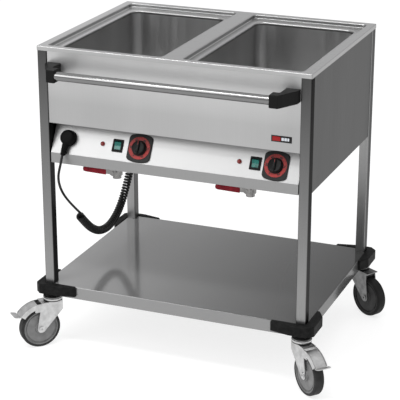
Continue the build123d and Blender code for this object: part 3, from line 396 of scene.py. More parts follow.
def patchy(name, first, second, patch, grain, roughness, depth, shine=0.5, metallic=0.0,
           **sockets):
    """Two close colours in patches, with an uneven roughness and bump."""
    made = finish(name, second, metallic, Specular_IOR_Level=shine, **sockets)
    mottled(made, first, second, (patch,) * 3)
    return uneven(made, (grain,) * 3, roughness, depth)


zinc = patchy("zinc_plate", 0.43, 0.6, 60, 90, (0.28, 0.42), 1.5e-5, metallic=1.0)
# Zinc with painted shade, for the rear forks and for the castor mounts under the bumpers.
dull_zinc = patchy("dull_zinc", 0.16, 0.26, 60, 90, (0.3, 0.45), 1.5e-5, metallic=1.0,
                   Specular_Tint=(0.5, 0.5, 0.5, 1.0))
nickel = patchy("nickel_plate", (0.17, 0.168, 0.165), (0.26, 0.255, 0.25), 80, 300,
                (0.22, 0.34), 1e-5, metallic=1.0)
bright = plain("bright_screw_steel", 0.62, 400, (0.2, 0.3), 5e-6, metallic=1.0)
race_steel = plain("race_steel", 0.5, 200, (0.16, 0.26), 5e-6, metallic=1.0)
sheath = uneven(finish("element_sheath", 0.18, metallic=1.0), (200, 200, 20), (0.35, 0.5), 1e-5)

black_plastic = plain("black_plastic", 0.006, 1400, (0.42, 0.55), 4e-5, 0.1)
bezel_plastic = plain("bezel_plastic", 0.016, 1600, (0.36, 0.48), 3e-5, 0.15)
knob_plastic = plain("knob_plastic", 0.006, 1600, (0.28, 0.38), 2e-5, 0.12)
jacket = plain("cord_jacket", 0.005, 700, (0.34, 0.46), 2e-5, 0.3)
plug_rubber = plain("plug_rubber", 0.003, 900, (0.38, 0.52), 4e-5, 0.06)
# Dark rubber for the heads' seals, and for the rings that paint the shade in the gap above each
# race.
head_seal = plain("head_seal", 0.006, 900, (0.5, 0.6), 2e-5, 0.1)
mark_ink = plain("mark_ink", 0.02, 900, (0.45, 0.55), 1e-5, 0.2)
badge_black = plain("badge_black", 0.006, 900, (0.25, 0.35), 1e-5, 0.25)
badge_red = plain("badge_red", (0.3, 0.006, 0.008), 900, (0.25, 0.35), 1e-5, 0.25)
badge_light = plain("badge_light", (0.6, 0.63, 0.68), 900, (0.25, 0.35), 1e-5)

bumper_rubber = patchy("bumper_rubber", 0.004, 0.011, 90, 450, (0.5, 0.72), 1.2e-4, 0.1)
tyre_rubber = patchy("tyre_rubber", 0.022, 0.036, 40, 350, (0.5, 0.66), 6e-5, 0.12)
# The rear tyres and rims are darker copies that carry painted shade.
rear_tyre = patchy("rear_tyre_rubber", 0.01, 0.018, 40, 350, (0.5, 0.66), 6e-5, 0.1)
rim_plastic = patchy("rim_plastic", 0.155, 0.2, 50, 800, (0.42, 0.55), 3e-5, 0.3)
rear_rim = patchy("rear_rim_plastic", 0.035, 0.05, 50, 800, (0.42, 0.55), 3e-5, 0.1)

grip_vinyl = patchy("grip_vinyl", (0.14, 0.004, 0.01), (0.24, 0.009, 0.018), 60, 500,
                    (0.3, 0.42), 3e-5, 0.12)
scale_red = patchy("scale_red", (0.24, 0.022, 0.02), (0.32, 0.03, 0.028), 160, 900,
                   (0.4, 0.5), 1e-5, 0.25)
lamp_red = patchy("lamp_red", (0.1, 0.003, 0.003), (0.22, 0.008, 0.006), 300, 500,
                  (0.15, 0.25), 1e-5, Coat_Weight=0.2, Coat_Roughness=0.1)
switch_green = patchy("switch_green", (0.0, 0.075, 0.06), (0.003, 0.17, 0.14), 110, 500,
                      (0.18, 0.3), 1e-5, Coat_Weight=0.2, Coat_Roughness=0.12)
print("materials", len(bpy.data.materials))

# %% [markdown]
# ## Dressing the CAD nodes
# A node whose shape is right keeps its mesh and only takes a finish. The table below
# goes from the start of a node's name to its material, and the longest match wins.

# %% Materials on the CAD nodes
DRESS = {
    "top_cover": cover_steel, "front_apron": apron_steel, "control_panel": panel_steel,
    "side_panel": side_steel, "back_panel": side_steel, "leg_": far_leg_steel,
    "leg_front": leg_steel, "well_": well_steel, "shelf": shelf_steel, "base_pan": under_steel,
    "handle_bar": bar_steel, "drain_pipes": nickel, "heating_elements": sheath,
    "valve_body": nickel, "valve_lever": nickel, "valve_grip": grip_vinyl,
    "thermostats": black_plastic, "switch_frames": black_plastic, "rocker": switch_green,
    "pilot_lamps": lamp_red, "dial_bezels": bezel_plastic, "dial_rings": scale_red,
    "knob": knob_plastic, "parking_socket": black_plastic, "plug": plug_rubber,
    "cord_": jacket, "cord_gland": black_plastic, "handle_bracket": black_plastic,
    # The castor mounts and the rear castors take the finishes with painted shade.
    "badge": badge_black, "corner_bumpers": bumper_rubber, "castor_mount": dull_zinc,
    "castor_fork": zinc, "castor_fork_rear": dull_zinc, "brake_pedal": zinc,
    "wheel_hub": rim_plastic, "wheel_hub_rear": rear_rim, "tyre": tyre_rubber,
    "tyre_rear": rear_tyre, "screws": bright,
}
for name, node in nodes.items():
    start = max((key for key in DRESS if name.startswith(key)), key=len)
    node.data.materials.clear()
    node.data.materials.append(DRESS[start])
print("dressed", len(nodes), "CAD nodes")

# %% [markdown]
# ## Making meshes by hand
# Most small moulded pieces are turned shapes: a profile spun round an axis. `lathe`
# writes the rings of vertices itself and leaves no seam: a profile that starts and ends on
# the axis closes at its poles, and a closed one makes a hollow ring. `keep` puts a
# finished mesh in place, shades it smooth where faces meet at shallow angles and hands
# back the object.

# %% Mesh helpers
def mesh_object(name, vertices, faces, material):
    """New object in the scene from plain vertices and faces."""
    data = bpy.data.meshes.new(name)
    data.from_pydata([tuple(v) for v in vertices], [], faces)
    data.materials.append(material)
    made = bpy.data.objects.new(name, data)
    bpy.context.scene.collection.objects.link(made)
    return made


def lathe(name, profile, material, segments=64, closed=False):
    """Turned shape about Z from (radius, height) pairs listed from the bottom up."""
    vertices, rings = [], []
    for radius, height in profile:
        start = len(vertices)
        count = 1 if radius == 0 else segments
        for i in range(count):
            angle = math.tau * i / segments
            vertices.append((radius * math.cos(angle), radius * math.sin(angle), height))
        rings.append((start, count))
    faces = []
    after = rings[1:] + (rings[:1] if closed else [])
    for (low, low_count), (high, high_count) in zip(rings, after):
        for i in range(segments):
            j = (i + 1) % segments
            if low_count == 1:
                faces.append((low, high + j, high + i))
            elif high_count == 1:
                faces.append((low + i, low + j, high))
            else:
                faces.append((low + i, low + j, high + j, high + i))
    return mesh_object(name, vertices, faces, material)


def keep(made, place=None, smooth=35.0):
    """Put the place into the mesh, face it outwards and shade its shallow edges smooth."""
    if place is not None:
        made.data.transform(place)
    work = bmesh.new()
    work.from_mesh(made.data)
    bmesh.ops.remove_doubles(work, verts=work.verts, dist=1e-7)
    bmesh.ops.recalc_face_normals(work, faces=work.faces)
    for face in work.faces:
        face.smooth = True
    limit = math.radians(smooth)
    for edge in work.edges:
        edge.smooth = len(edge.link_faces) == 2 and edge.calc_face_angle(0.0) < limit
    work.to_mesh(made.data)
    work.free()
    return made


def join(name, pieces):
    """One object from several, with all their materials."""
    with bpy.context.temp_override(active_object=pieces[0], object=pieces[0],
                                   selected_objects=pieces, selected_editable_objects=pieces):
        bpy.ops.object.join()
    pieces[0].name = pieces[0].data.name = name
    return pieces[0]


def applied(made):
    """Make the result of the modifiers the object's own mesh."""
    depsgraph = bpy.context.evaluated_depsgraph_get()
    data = bpy.data.meshes.new_from_object(made.evaluated_get(depsgraph))
    made.modifiers.clear()
    made.data = data
    return made


def meshed(source, material):
    """Plain mesh object in one material in place of a curve or text."""
    depsgraph = bpy.context.evaluated_depsgraph_get()
    data = bpy.data.meshes.new_from_object(source.evaluated_get(depsgraph))
    name = source.name
    bpy.data.objects.remove(source)
    data.materials.clear()
    data.materials.append(material)
    made = bpy.data.objects.new(name, data)
    bpy.context.scene.collection.objects.link(made)
    return made


def rounded(made, width, segments=2):
    """Bevel every sharp edge and apply the modifier."""
    bevel = made.modifiers.new("soft_edges", "BEVEL")
    bevel.width = width
    bevel.segments = segments
    bevel.limit_method = "ANGLE"
    return applied(made)


def slab(name, x, y, z, material):
    """Box between (low, high) pairs, ready to be bevelled."""
    corners = [(a, b, c) for a in x for b in y for c in z]
    faces = [(0, 1, 3, 2), (4, 6, 7, 5), (0, 4, 5, 1), (2, 3, 7, 6), (0, 2, 6, 4), (1, 5, 7, 3)]
    return mesh_object(name, corners, faces, material)


print("mesh helpers ready")

# %% [markdown]
# ## Geometry Nodes: a small workshop
# What repeats is made with Geometry Nodes. Each tree is written here in code: it has
# named inputs for its sizes, ends in Realize Instances and Set Material, and is turned
# into a plain mesh at once, so that no modifier is left on the finished piece.

# %% Geometry Nodes helpers
SOCKETS = {"int": "NodeSocketInt", "float": "NodeSocketFloat", "material": "NodeSocketMaterial",
           "object": "NodeSocketObject"}


def new_tree(name, inputs):
    """Empty tree with a geometry input and output and the named inputs."""
    tree = bpy.data.node_groups.new(name, "GeometryNodeTree")
    tree.interface.new_socket("Geometry", in_out="INPUT", socket_type="NodeSocketGeometry")
    for title, kind in inputs.items():
        tree.interface.new_socket(title, in_out="INPUT", socket_type=SOCKETS[kind])
    tree.interface.new_socket("Geometry", in_out="OUTPUT", socket_type="NodeSocketGeometry")
    return tree, tree.nodes.new("NodeGroupInput"), tree.nodes.new("NodeGroupOutput")


def fed(tree, node, *values):
    """First output of a node fed with sockets or plain numbers."""
    for socket, value in zip(node.inputs, values):
        if isinstance(value, (int, float)):
            socket.default_value = value
        else:
            tree.links.new(value, socket)
    return node.outputs[0]


def calc(tree, operation, *values):
    """Sum, product or other arithmetic of sockets and plain numbers."""
    node = tree.nodes.new("ShaderNodeMath")
    node.operation = operation
    return fed(tree, node, *values)


def vector(tree, x=0.0, y=0.0, z=0.0):
    """Vector from sockets and plain numbers."""
    return fed(tree, tree.nodes.new("ShaderNodeCombineXYZ"), x, y, z)


def close_tree(tree, given, taken, instances):
    """Realize Instances, then Set Material, then out."""
    real = tree.nodes.new("GeometryNodeRealizeInstances")
    paint = tree.nodes.new("GeometryNodeSetMaterial")
    tree.links.new(instances, real.inputs["Geometry"])
    tree.links.new(real.outputs["Geometry"], paint.inputs["Geometry"])
    tree.links.new(given.outputs["Material"], paint.inputs["Material"])
    tree.links.new(paint.outputs["Geometry"], taken.inputs["Geometry"])


def grow(name, tree, values, points=(), turns=()):
    """Run a tree on a mesh of loose points and keep the result as a plain mesh."""
    data = bpy.data.meshes.new(name + "_seed")
    data.from_pydata([tuple(p) for p in points], [], [])
    if turns:
        stored = data.attributes.new("turn", "FLOAT_VECTOR", "POINT")
        for item, turn_of in zip(stored.data, turns):
            item.vector = turn_of
    seed = bpy.data.objects.new(name, data)
    bpy.context.scene.collection.objects.link(seed)
    modifier = seed.modifiers.new("nodes", "NODES")
    modifier.node_group = tree
    for item in tree.interface.items_tree:
        if item.in_out == "INPUT" and item.name in values:
            modifier[item.identifier] = values[item.name]
    seed.update_tag()
    print(name, "faces", len(applied(seed).data.polygons))
    return seed


print("workshop ready")

# %% [markdown]
# ## The slope of the control panel
# All controls stand on a sloping sheet. One matrix takes a point given as across, up the
# slope and out of it to the cart's own frame, so each control can be made lying flat
# round its own middle and then be placed.

# %% Slope
SLOPE_FOOT = Vector((0.0, -0.3075, 0.622))
SLOPE_DEPTH, SLOPE_RISE = 0.0500, 0.0906
SLOPE_UP = Vector((0.0, SLOPE_DEPTH, SLOPE_RISE)).normalized()
SLOPE_OUT = Vector((0.0, -SLOPE_RISE, SLOPE_DEPTH)).normalized()


def on_slope(x, up, out=0.0, lean=0.0):
    """Matrix from a control's own frame to its place on the slope."""
    origin = SLOPE_FOOT + Vector((x, 0, 0)) + SLOPE_UP * up + SLOPE_OUT * out
    turn_in = Matrix((Vector((1, 0, 0)), SLOPE_UP, SLOPE_OUT)).transposed()
    return Matrix.Translation(origin) @ turn_in.to_4x4() @ Matrix.Rotation(lean, 4, "Z")


CONTROL_UP = 0.0437
DIALS = {"left": -0.1049, "right": 0.3084}
print("slope leans", round(math.degrees(SLOPE_OUT.angle(Vector((0, -1, 0)))), 1), "degrees")

# %% [markdown]
# ## Dial scale
# The red ring carries a scale. The fine marks repeat round an arc, which is a job for
# Geometry Nodes: points are set out by their index along the arc and each gets a small
# bar turned to face the middle. The numbers are plain figures, made from text and
# turned into meshes before they are placed.

# %% Tree for the marks
marks_tree, given, taken = new_tree("dial_marks", {
    "Count": "int", "Radius": "float", "Start": "float", "Sweep": "float",
    "Length": "float", "Width": "float", "Height": "float", "Material": "material"})
arc = marks_tree.nodes.new("GeometryNodePoints")
index = marks_tree.nodes.new("GeometryNodeInputIndex")
bar = marks_tree.nodes.new("GeometryNodeMeshCube")
spread = marks_tree.nodes.new("GeometryNodeInstanceOnPoints")
gaps = calc(marks_tree, "SUBTRACT", given.outputs["Count"], 1.0)
step = calc(marks_tree, "DIVIDE", given.outputs["Sweep"], gaps)
turned = calc(marks_tree, "MULTIPLY", index.outputs[0], step)
angle = calc(marks_tree, "ADD", given.outputs["Start"], turned)
across = calc(marks_tree, "MULTIPLY", given.outputs["Radius"], calc(marks_tree, "COSINE", angle))
up = calc(marks_tree, "MULTIPLY", given.outputs["Radius"], calc(marks_tree, "SINE", angle))
marks_tree.links.new(given.outputs["Count"], arc.inputs["Count"])
marks_tree.links.new(vector(marks_tree, across, up), arc.inputs["Position"])
marks_tree.links.new(vector(marks_tree, given.outputs["Length"], given.outputs["Width"],
                            given.outputs["Height"]), bar.inputs["Size"])
marks_tree.links.new(arc.outputs[0], spread.inputs["Points"])
marks_tree.links.new(bar.outputs["Mesh"], spread.inputs["Instance"])
marks_tree.links.new(vector(marks_tree, z=angle), spread.inputs["Rotation"])
close_tree(marks_tree, given, taken, spread.outputs["Instances"])

# %% Scales
RING_FACE = 0.0057
FIGURES = ("0", "30", "45", "60", "75", "90")
SCALE_START = math.radians(240)
SCALE_SWEEP = math.radians(-300)
MARK_COUNT, MARK_RADIUS = 31, 0.0313
MARK_LENGTH, MARK_WIDTH, MARK_HEIGHT = 0.0022, 0.0010, 0.00016
FIGURE_RADIUS, FIGURE_SIZE, FIGURE_BOLD = 0.0258, 0.0086, 0.0003
INK_HALF = 0.00008
INK_LIFT = 0.0001


def figure(text, place):
    """One printed figure as a mesh."""
    data = bpy.data.curves.new("figure", "FONT")
    data.body = text
    data.size = FIGURE_SIZE
    data.offset = FIGURE_BOLD
    data.align_x = data.align_y = "CENTER"
    data.extrude = INK_HALF
    data.resolution_u = 2
    source = bpy.data.objects.new("figure", data)
    bpy.context.scene.collection.objects.link(source)
    made = meshed(source, mark_ink)
    made.data.transform(place)
    return made


for side, x in DIALS.items():
    marks = grow(f"dial_scale_{side}", marks_tree, {
        "Count": MARK_COUNT, "Radius": MARK_RADIUS, "Start": SCALE_START,
        "Sweep": SCALE_SWEEP, "Length": MARK_LENGTH, "Width": MARK_WIDTH,
        "Height": MARK_HEIGHT, "Material": mark_ink})
    pieces = [marks]
    for i, text in enumerate(FIGURES):
        turned = SCALE_START + SCALE_SWEEP * i / (len(FIGURES) - 1)
        upright = Matrix.Rotation(turned - math.pi / 2, 4, "Z")
        pieces.append(figure(text, upright @ Matrix.Translation((0, FIGURE_RADIUS, 0))))
    scale = join(f"dial_scale_{side}", pieces)
    scale.data.transform(on_slope(x, CONTROL_UP, RING_FACE + INK_LIFT))
    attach(scale, "cart")
print("scales", list(DIALS))

# %% [markdown]
# ## Thermostat knobs
# A knob is a shallow turned cap with a finger ridge across it. The cap is a lathe
# profile with a hollow round the ridge. The ridge is a bar that is widest in the middle
# and arched along its top, so it is lofted from a few sections and then bevelled.

# %% Knobs
KNOB_FOOT = 0.0062
KNOB_PROFILE = [
    (0.0, 0.0), (0.0205, 0.0), (0.021, 0.0006), (0.0209, 0.0022), (0.0201, 0.0028),
    (0.0199, 0.0088), (0.0192, 0.0104), (0.0178, 0.0112), (0.0150, 0.0106), (0.0, 0.0100),
]
RIDGE_STATIONS = 13
RIDGE_HALF_LENGTH, RIDGE_FOOT, RIDGE_TOP, RIDGE_DROP = 0.0176, 0.008, 0.0155, 0.0030
RIDGE_END_HALF, RIDGE_SWELL, RIDGE_TAPER = 0.0026, 0.0016, 0.8
POINTER_X, POINTER_Y, POINTER_Z = (-0.0005, 0.0005), (0.002, 0.0165), (0.0128, 0.01543)


def finger_ridge(name, material):
    """Arched bar along Y from lofted sections, widest in the middle."""
    vertices, faces = [], []
    for i in range(RIDGE_STATIONS):
        share = 2 * i / (RIDGE_STATIONS - 1) - 1
        half = RIDGE_END_HALF + RIDGE_SWELL * (1 - share * share)
        top = RIDGE_TOP - RIDGE_DROP * share ** 4
        y = RIDGE_HALF_LENGTH * share
        vertices += [(-half, y, RIDGE_FOOT), (half, y, RIDGE_FOOT),
                     (half * RIDGE_TAPER, y, top), (-half * RIDGE_TAPER, y, top)]
    for i in range(RIDGE_STATIONS - 1):
        a, b = 4 * i, 4 * i + 4
        for j in range(4):
            k = (j + 1) % 4
            faces.append((a + j, a + k, b + k, b + j))
    last = 4 * (RIDGE_STATIONS - 1)
    faces += [(3, 2, 1, 0), (last, last + 1, last + 2, last + 3)]
    return mesh_object(name, vertices, faces, material)


for side, x in DIALS.items():
    cap = lathe("knob_cap", KNOB_PROFILE, knob_plastic, 96)
    ridge = rounded(keep(finger_ridge("knob_ridge", knob_plastic)), 0.0007, 3)
    pointer = slab("knob_pointer", POINTER_X, POINTER_Y, POINTER_Z, scale_red)
    pointer = rounded(pointer, 0.0001, 1)
    knob = join(f"thermostat_knob_{side}", [keep(cap), keep(ridge), keep(pointer)])
    keep(knob, on_slope(x, CONTROL_UP, KNOB_FOOT))
    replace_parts(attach(knob, f"knob_{side}"), f"knob_{side}")
print("knobs", list(DIALS))

# %% [markdown]
# ## Plug and strain relief
# The plug enters its socket sideways: a round head sits on the socket and a tapered neck
# leaves it down the slope. The neck bends with the cord, so it is moulded with ribs. The
# gland under the housing ends in the same kind of sleeve. One tree makes both sets of
# ribs: rings along a line whose size tapers from the first to the last.

# %% Tree for tapered ribs
RIB_CORNERS, RIB_SECTION_CORNERS = 40, 10
ribs_tree, given, taken = new_tree("tapered_ribs", {
    "Count": "int", "Span": "float", "First radius": "float", "Last radius": "float",
    "Thickness": "float", "Material": "material"})
row = ribs_tree.nodes.new("GeometryNodePoints")
index = ribs_tree.nodes.new("GeometryNodeInputIndex")
ring = ribs_tree.nodes.new("GeometryNodeCurvePrimitiveCircle")
section = ribs_tree.nodes.new("GeometryNodeCurvePrimitiveCircle")
sweep = ribs_tree.nodes.new("GeometryNodeCurveToMesh")
spread = ribs_tree.nodes.new("GeometryNodeInstanceOnPoints")
gaps = calc(ribs_tree, "SUBTRACT", given.outputs["Count"], 1.0)
share = calc(ribs_tree, "DIVIDE", index.outputs[0], gaps)
height = calc(ribs_tree, "MULTIPLY", share, given.outputs["Span"])
taper = calc(ribs_tree, "SUBTRACT", calc(ribs_tree, "DIVIDE", given.outputs["Last radius"],
                                         given.outputs["First radius"]), 1.0)
size = calc(ribs_tree, "ADD", calc(ribs_tree, "MULTIPLY", share, taper), 1.0)
ribs_tree.links.new(given.outputs["Count"], row.inputs["Count"])
ribs_tree.links.new(vector(ribs_tree, z=height), row.inputs["Position"])
ring.inputs["Resolution"].default_value = RIB_CORNERS
section.inputs["Resolution"].default_value = RIB_SECTION_CORNERS
ribs_tree.links.new(given.outputs["First radius"], ring.inputs["Radius"])
ribs_tree.links.new(given.outputs["Thickness"], section.inputs["Radius"])
ribs_tree.links.new(ring.outputs["Curve"], sweep.inputs["Curve"])
ribs_tree.links.new(section.outputs["Curve"], sweep.inputs["Profile Curve"])
ribs_tree.links.new(row.outputs[0], spread.inputs["Points"])
ribs_tree.links.new(sweep.outputs["Mesh"], spread.inputs["Instance"])
ribs_tree.links.new(vector(ribs_tree, size, size, 1.0), spread.inputs["Scale"])
close_tree(ribs_tree, given, taken, spread.outputs["Instances"])

# %% Plug
PLUG_AT = (-0.331, 0.047)
PLUG_LEAN = math.radians(-8)
HEAD_PROFILE = [
    (0.0, 0.0032), (0.0222, 0.0032), (0.0225, 0.004), (0.0225, 0.0155), (0.0218, 0.0180),
    (0.0202, 0.0204), (0.0178, 0.0219), (0.0150, 0.0226), (0.0, 0.0229),
]
NECK_PROFILE = [
    (0.0, 0.0), (0.0096, 0.0), (0.0096, 0.016), (0.0094, 0.026), (0.0084, 0.034),
    (0.0066, 0.050), (0.0056, 0.0542), (0.0, 0.0542),
]
NECK_LENGTH, NECK_FALL, NECK_HEIGHT = 0.0542, 0.0030, 0.0128
RIBS_START = 0.0355
LOOP_STEPS, LOOP_HALF_WIDTH, LOOP_DEPTH, LOOP_THICKNESS = 16, 0.0085, 0.0135, 0.0013
LOOP_AT = (0.002, -0.0405, 0.0085)
PIN_PROFILE = [(0.0, -0.011), (0.0014, -0.011), (0.0022, -0.010), (0.0022, 0.0034), (0.0, 0.0034)]
PIN_SIDE = 0.0095

neck_run = Vector((0, -NECK_LENGTH, -NECK_FALL)).normalized()
neck_turn = neck_run.to_track_quat("Z", "Y").to_matrix().to_4x4()
neck_place = Matrix.Translation((0, 0, NECK_HEIGHT)) @ neck_turn
head = keep(lathe("plug_head", HEAD_PROFILE, plug_rubber, 80))
neck = keep(lathe("plug_neck", NECK_PROFILE, plug_rubber, 48), neck_place)
ribs = keep(grow("plug_ribs", ribs_tree, {
    "Count": 6, "Span": 0.017, "First radius": 0.0080, "Last radius": 0.0060,
    "Thickness": 0.0011, "Material": plug_rubber}),
    neck_place @ Matrix.Translation((0, 0, RIBS_START)))
loop_points = []
for i in range(LOOP_STEPS + 1):
    angle = math.pi * i / LOOP_STEPS - math.pi
    reach = Vector((LOOP_HALF_WIDTH * math.cos(angle), LOOP_DEPTH * math.sin(angle), 0))
    loop_points.append(Vector(LOOP_AT) + reach)
pull_line = smooth_line("pull_loop", loop_points, 3)
pull_line.data.bevel_depth = LOOP_THICKNESS
pull_line.data.bevel_resolution = 2
pull_line.data.use_fill_caps = True
pull = meshed(pull_line, plug_rubber)
pins = []
for side in (-1, 1):
    pin = lathe("plug_pin", PIN_PROFILE, nickel, 24)
    pins.append(keep(pin, Matrix.Translation((side * PIN_SIDE, 0, 0))))
plug = join("mains_plug", [head, neck, ribs, pull, *pins])
keep(plug, on_slope(*PLUG_AT, lean=PLUG_LEAN))
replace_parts(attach(plug, "cart"), "plug")

# %% Gland and its sleeve
GLAND_AT = Vector((COIL_X, 0.242, 0.5925))
SLEEVE_PROFILE = [
    (0.0, -0.040), (0.0046, -0.040), (0.0052, -0.038), (0.0066, -0.020), (0.0080, -0.0165),
    (0.0088, -0.0150), (0.0090, -0.0100), (0.0, -0.0100),
]
NUT_PROFILE = [(0.0, -0.0115), (0.0106, -0.0115), (0.0106, -0.0002), (0.0, -0.0002)]
THREAD_PROFILE = [(0.0, -0.001), (0.0078, -0.001), (0.0078, 0.0088), (0.0, 0.0088)]
RIBS_FOOT = -0.0372
sleeve = keep(lathe("gland_sleeve", SLEEVE_PROFILE, black_plastic, 40))
rings = keep(grow("gland_ribs", ribs_tree, {
    "Count": 7, "Span": 0.017, "First radius": 0.0049, "Last radius": 0.0064,
    "Thickness": 0.0009, "Material": black_plastic}), Matrix.Translation((0, 0, RIBS_FOOT)))
hexagon = rounded(keep(lathe("gland_nut", NUT_PROFILE, black_plastic, 6)), 0.0008)
thread = keep(lathe("gland_thread", THREAD_PROFILE, black_plastic, 32))
gland = join("gland", [sleeve, rings, hexagon, thread])
keep(gland, Matrix.Translation(GLAND_AT))
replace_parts(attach(gland, "cart"), "cord_gland")
print("gland faces", len(gland.data.polygons))

cord.data.materials.append(jacket)
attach(cord, "cart")
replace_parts(cord, "cord_lead", "cord_coil")

# %% [markdown]
# ## Lever grips
# The drain levers wear dipped vinyl grips: rounded all over, fuller towards the valve,
# with a few raised dots for the fingers. A grid of points wrapped on a superellipse gives
# that shape directly, and the dots are added by lifting the points near them.

# %% Grips
GRIP_FAR, GRIP_NEAR = -0.097, -0.020
GRIP_HALF_HEIGHT = 0.0095
GRIP_HALF_THICKNESS = 0.004
GRIP_FAR_ROUND, GRIP_NEAR_ROUND = 0.0105, 0.0028
GRIP_SLIM = 0.86
GRIP_POWER = 2.8
GRIP_DOTS = (-0.078, -0.066, -0.0535)
DOT_RADIUS, DOT_LIFT = 0.0024, 0.0005
END_CROWDING = 0.55
STATIONS, AROUND = 96, 72
GRIP_AXIS_Y, GRIP_AXIS_Z = -0.251, 0.563
GRIP_X = {"left": -0.210, "right": 0.210}


def superellipse(angle, wide, thick, power):
    """Point of a rounded box outline."""
    c, s = math.cos(angle), math.sin(angle)
    across = math.copysign(wide * abs(c) ** (2 / power), c)
    return across, math.copysign(thick * abs(s) ** (2 / power), s)


def lever_grip(name):
    """Rounded grip along X, with its face towards -Y."""
    length = GRIP_NEAR - GRIP_FAR
    vertices, faces = [(GRIP_FAR, 0, 0)], []
    for i in range(1, STATIONS):
        share = i / STATIONS
        crowded = share - math.sin(math.tau * share) / math.tau * END_CROWDING
        x = GRIP_FAR + length * crowded
        to_far = min(1.0, (x - GRIP_FAR) / GRIP_FAR_ROUND)
        to_near = min(1.0, (GRIP_NEAR - x) / GRIP_NEAR_ROUND)
        end = math.sqrt(1 - (1 - to_far) ** 2) * math.sqrt(1 - (1 - to_near) ** 2)
        body = GRIP_SLIM + (1 - GRIP_SLIM) * ease(x, GRIP_FAR, GRIP_NEAR)
        height = GRIP_HALF_HEIGHT * end * body
        thickness = GRIP_HALF_THICKNESS * (0.25 + 0.75 * end) * end ** 0.3 * GRIP_SLIM
        for j in range(AROUND):
            z, y = superellipse(math.tau * j / AROUND, height, thickness, GRIP_POWER)
            lift = sum(max(0.0, 1 - ((x - dot) ** 2 + z ** 2) / DOT_RADIUS ** 2) ** 2
                       for dot in GRIP_DOTS)
            vertices.append((x, y + math.copysign(DOT_LIFT * min(1, lift), y), z))
    vertices.append((GRIP_NEAR, 0, 0))
    for j in range(AROUND):
        k = (j + 1) % AROUND
        faces.append((0, 1 + j, 1 + k))
        for i in range(STATIONS - 2):
            a = 1 + i * AROUND
            faces.append((a + j, a + AROUND + j, a + AROUND + k, a + k))
        last = 1 + (STATIONS - 2) * AROUND
        faces.append((last + j, len(vertices) - 1, last + k))
    return mesh_object(name, vertices, faces, grip_vinyl)


for side, x in GRIP_X.items():
    pivot = Matrix.Translation((x, GRIP_AXIS_Y, GRIP_AXIS_Z))
    grip = keep(lever_grip(f"lever_grip_{side}"), pivot, 60)
    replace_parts(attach(grip, f"valve_lever_{side}"), f"valve_grip_{side}")
    print(grip.name, "faces", len(grip.data.polygons))

# %% [markdown]
# ## Castor heads
# Between bumper and fork each castor shows its swivel head: a bright bearing race that
# stands a little proud, with a dark seal below it. Above it a dark ring paints the gap's shade.

# %% Races, seals and gaps
HEAD_RING_INSIDE = 0.020
HEAD_RINGS = {
    "head_seal": (head_seal, [(0.0284, 0.1466), (0.0291, 0.1470), (0.0291, 0.1484),
                              (0.0284, 0.1488)]),
    "head_race": (race_steel, [(0.0286, 0.1500), (0.0299, 0.1508), (0.0304, 0.1526),
                               (0.0304, 0.1540), (0.0299, 0.1558), (0.0286, 0.1566)]),
    # This ring is painted shade: a dark ring that stands in for the shadowed gap.
    "head_gap": (head_seal, [(0.0284, 0.1594), (0.0290, 0.1597), (0.0290, 0.1636),
                             (0.0284, 0.1639)]),
}
castor_mounts = {name: node for name, node in nodes.items() if name.startswith("castor_mount")}
for name, node in castor_mounts.items():
    corners = [node.matrix_world @ Vector(corner) for corner in node.bound_box]
    middle = sum(corners, Vector()) / len(corners)
    middle.z = 0.0
    for label, (paint, profile) in HEAD_RINGS.items():
        loop = [(HEAD_RING_INSIDE, profile[0][1]), *profile, (HEAD_RING_INSIDE, profile[-1][1])]
        ring = lathe(name.replace("castor_mount", label), loop, paint, closed=True)
        keep(ring, Matrix.Translation(middle))
        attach(ring, "cart")
print("castor heads dressed")

# %% [markdown]
# ## Badge
# A small printed plate near the right end of the apron. It carries plain blocks of
# colour and nothing to read.

# %% Badge
BADGE_X = (0.300, 0.360)
BADGE_Z = (0.73825, 0.75675)
BADGE_Y = (-0.3083, -0.3075)
PLATE_FACE, BLOCK_BACK = BADGE_Y[0] + 0.0003, BADGE_Y[0] + 0.0004
BADGE_BLOCKS = ((0.3035, 0.3270, 0.0062, badge_red), (0.3300, 0.3370, 0.0042, badge_light),
                (0.3385, 0.3455, 0.0042, badge_light), (0.3470, 0.3520, 0.0042, badge_light))
plate = slab("badge_plate", BADGE_X, (PLATE_FACE, BADGE_Y[1]), BADGE_Z, badge_black)
pieces = [rounded(plate, 0.0002)]
centre = sum(BADGE_Z) / 2
for low, high, half, paint in BADGE_BLOCKS:
    print_block = slab("badge_block", (low, high), (BADGE_Y[0], BLOCK_BACK),
                       (centre - half, centre + half), paint)
    pieces.append(rounded(print_block, 0.0001))
badge = keep(join("colour_badge", pieces))
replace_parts(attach(badge, "cart"), "badge")
print("badge blocks", len(BADGE_BLOCKS))

# %% [markdown]
# ## Screws
# Every screw of the cart is the same pan-head screw, so one is made with a cross recess
# and Geometry Nodes puts a copy at each place. Each place is a loose point of the seed
# mesh that carries the screw's turn as a stored vector.

# %% One screw
SHANK_LENGTH, THREAD_START, THREAD_PITCH, THREAD_TURNS = 0.0095, 0.009, 0.0011, 8
THREAD_CREST, THREAD_ROOT = 0.0019, 0.00165
PAN_HEAD = [(THREAD_CREST, 0.0), (0.0040, 0.0), (0.0040, 0.0012), (0.0034, 0.0021),
            (0.0020, 0.0024), (0.0, 0.0024)]
RECESS_X, RECESS_Y, RECESS_Z = (-0.0022, 0.0022), (-0.00045, 0.00045), (0.0014, 0.004)


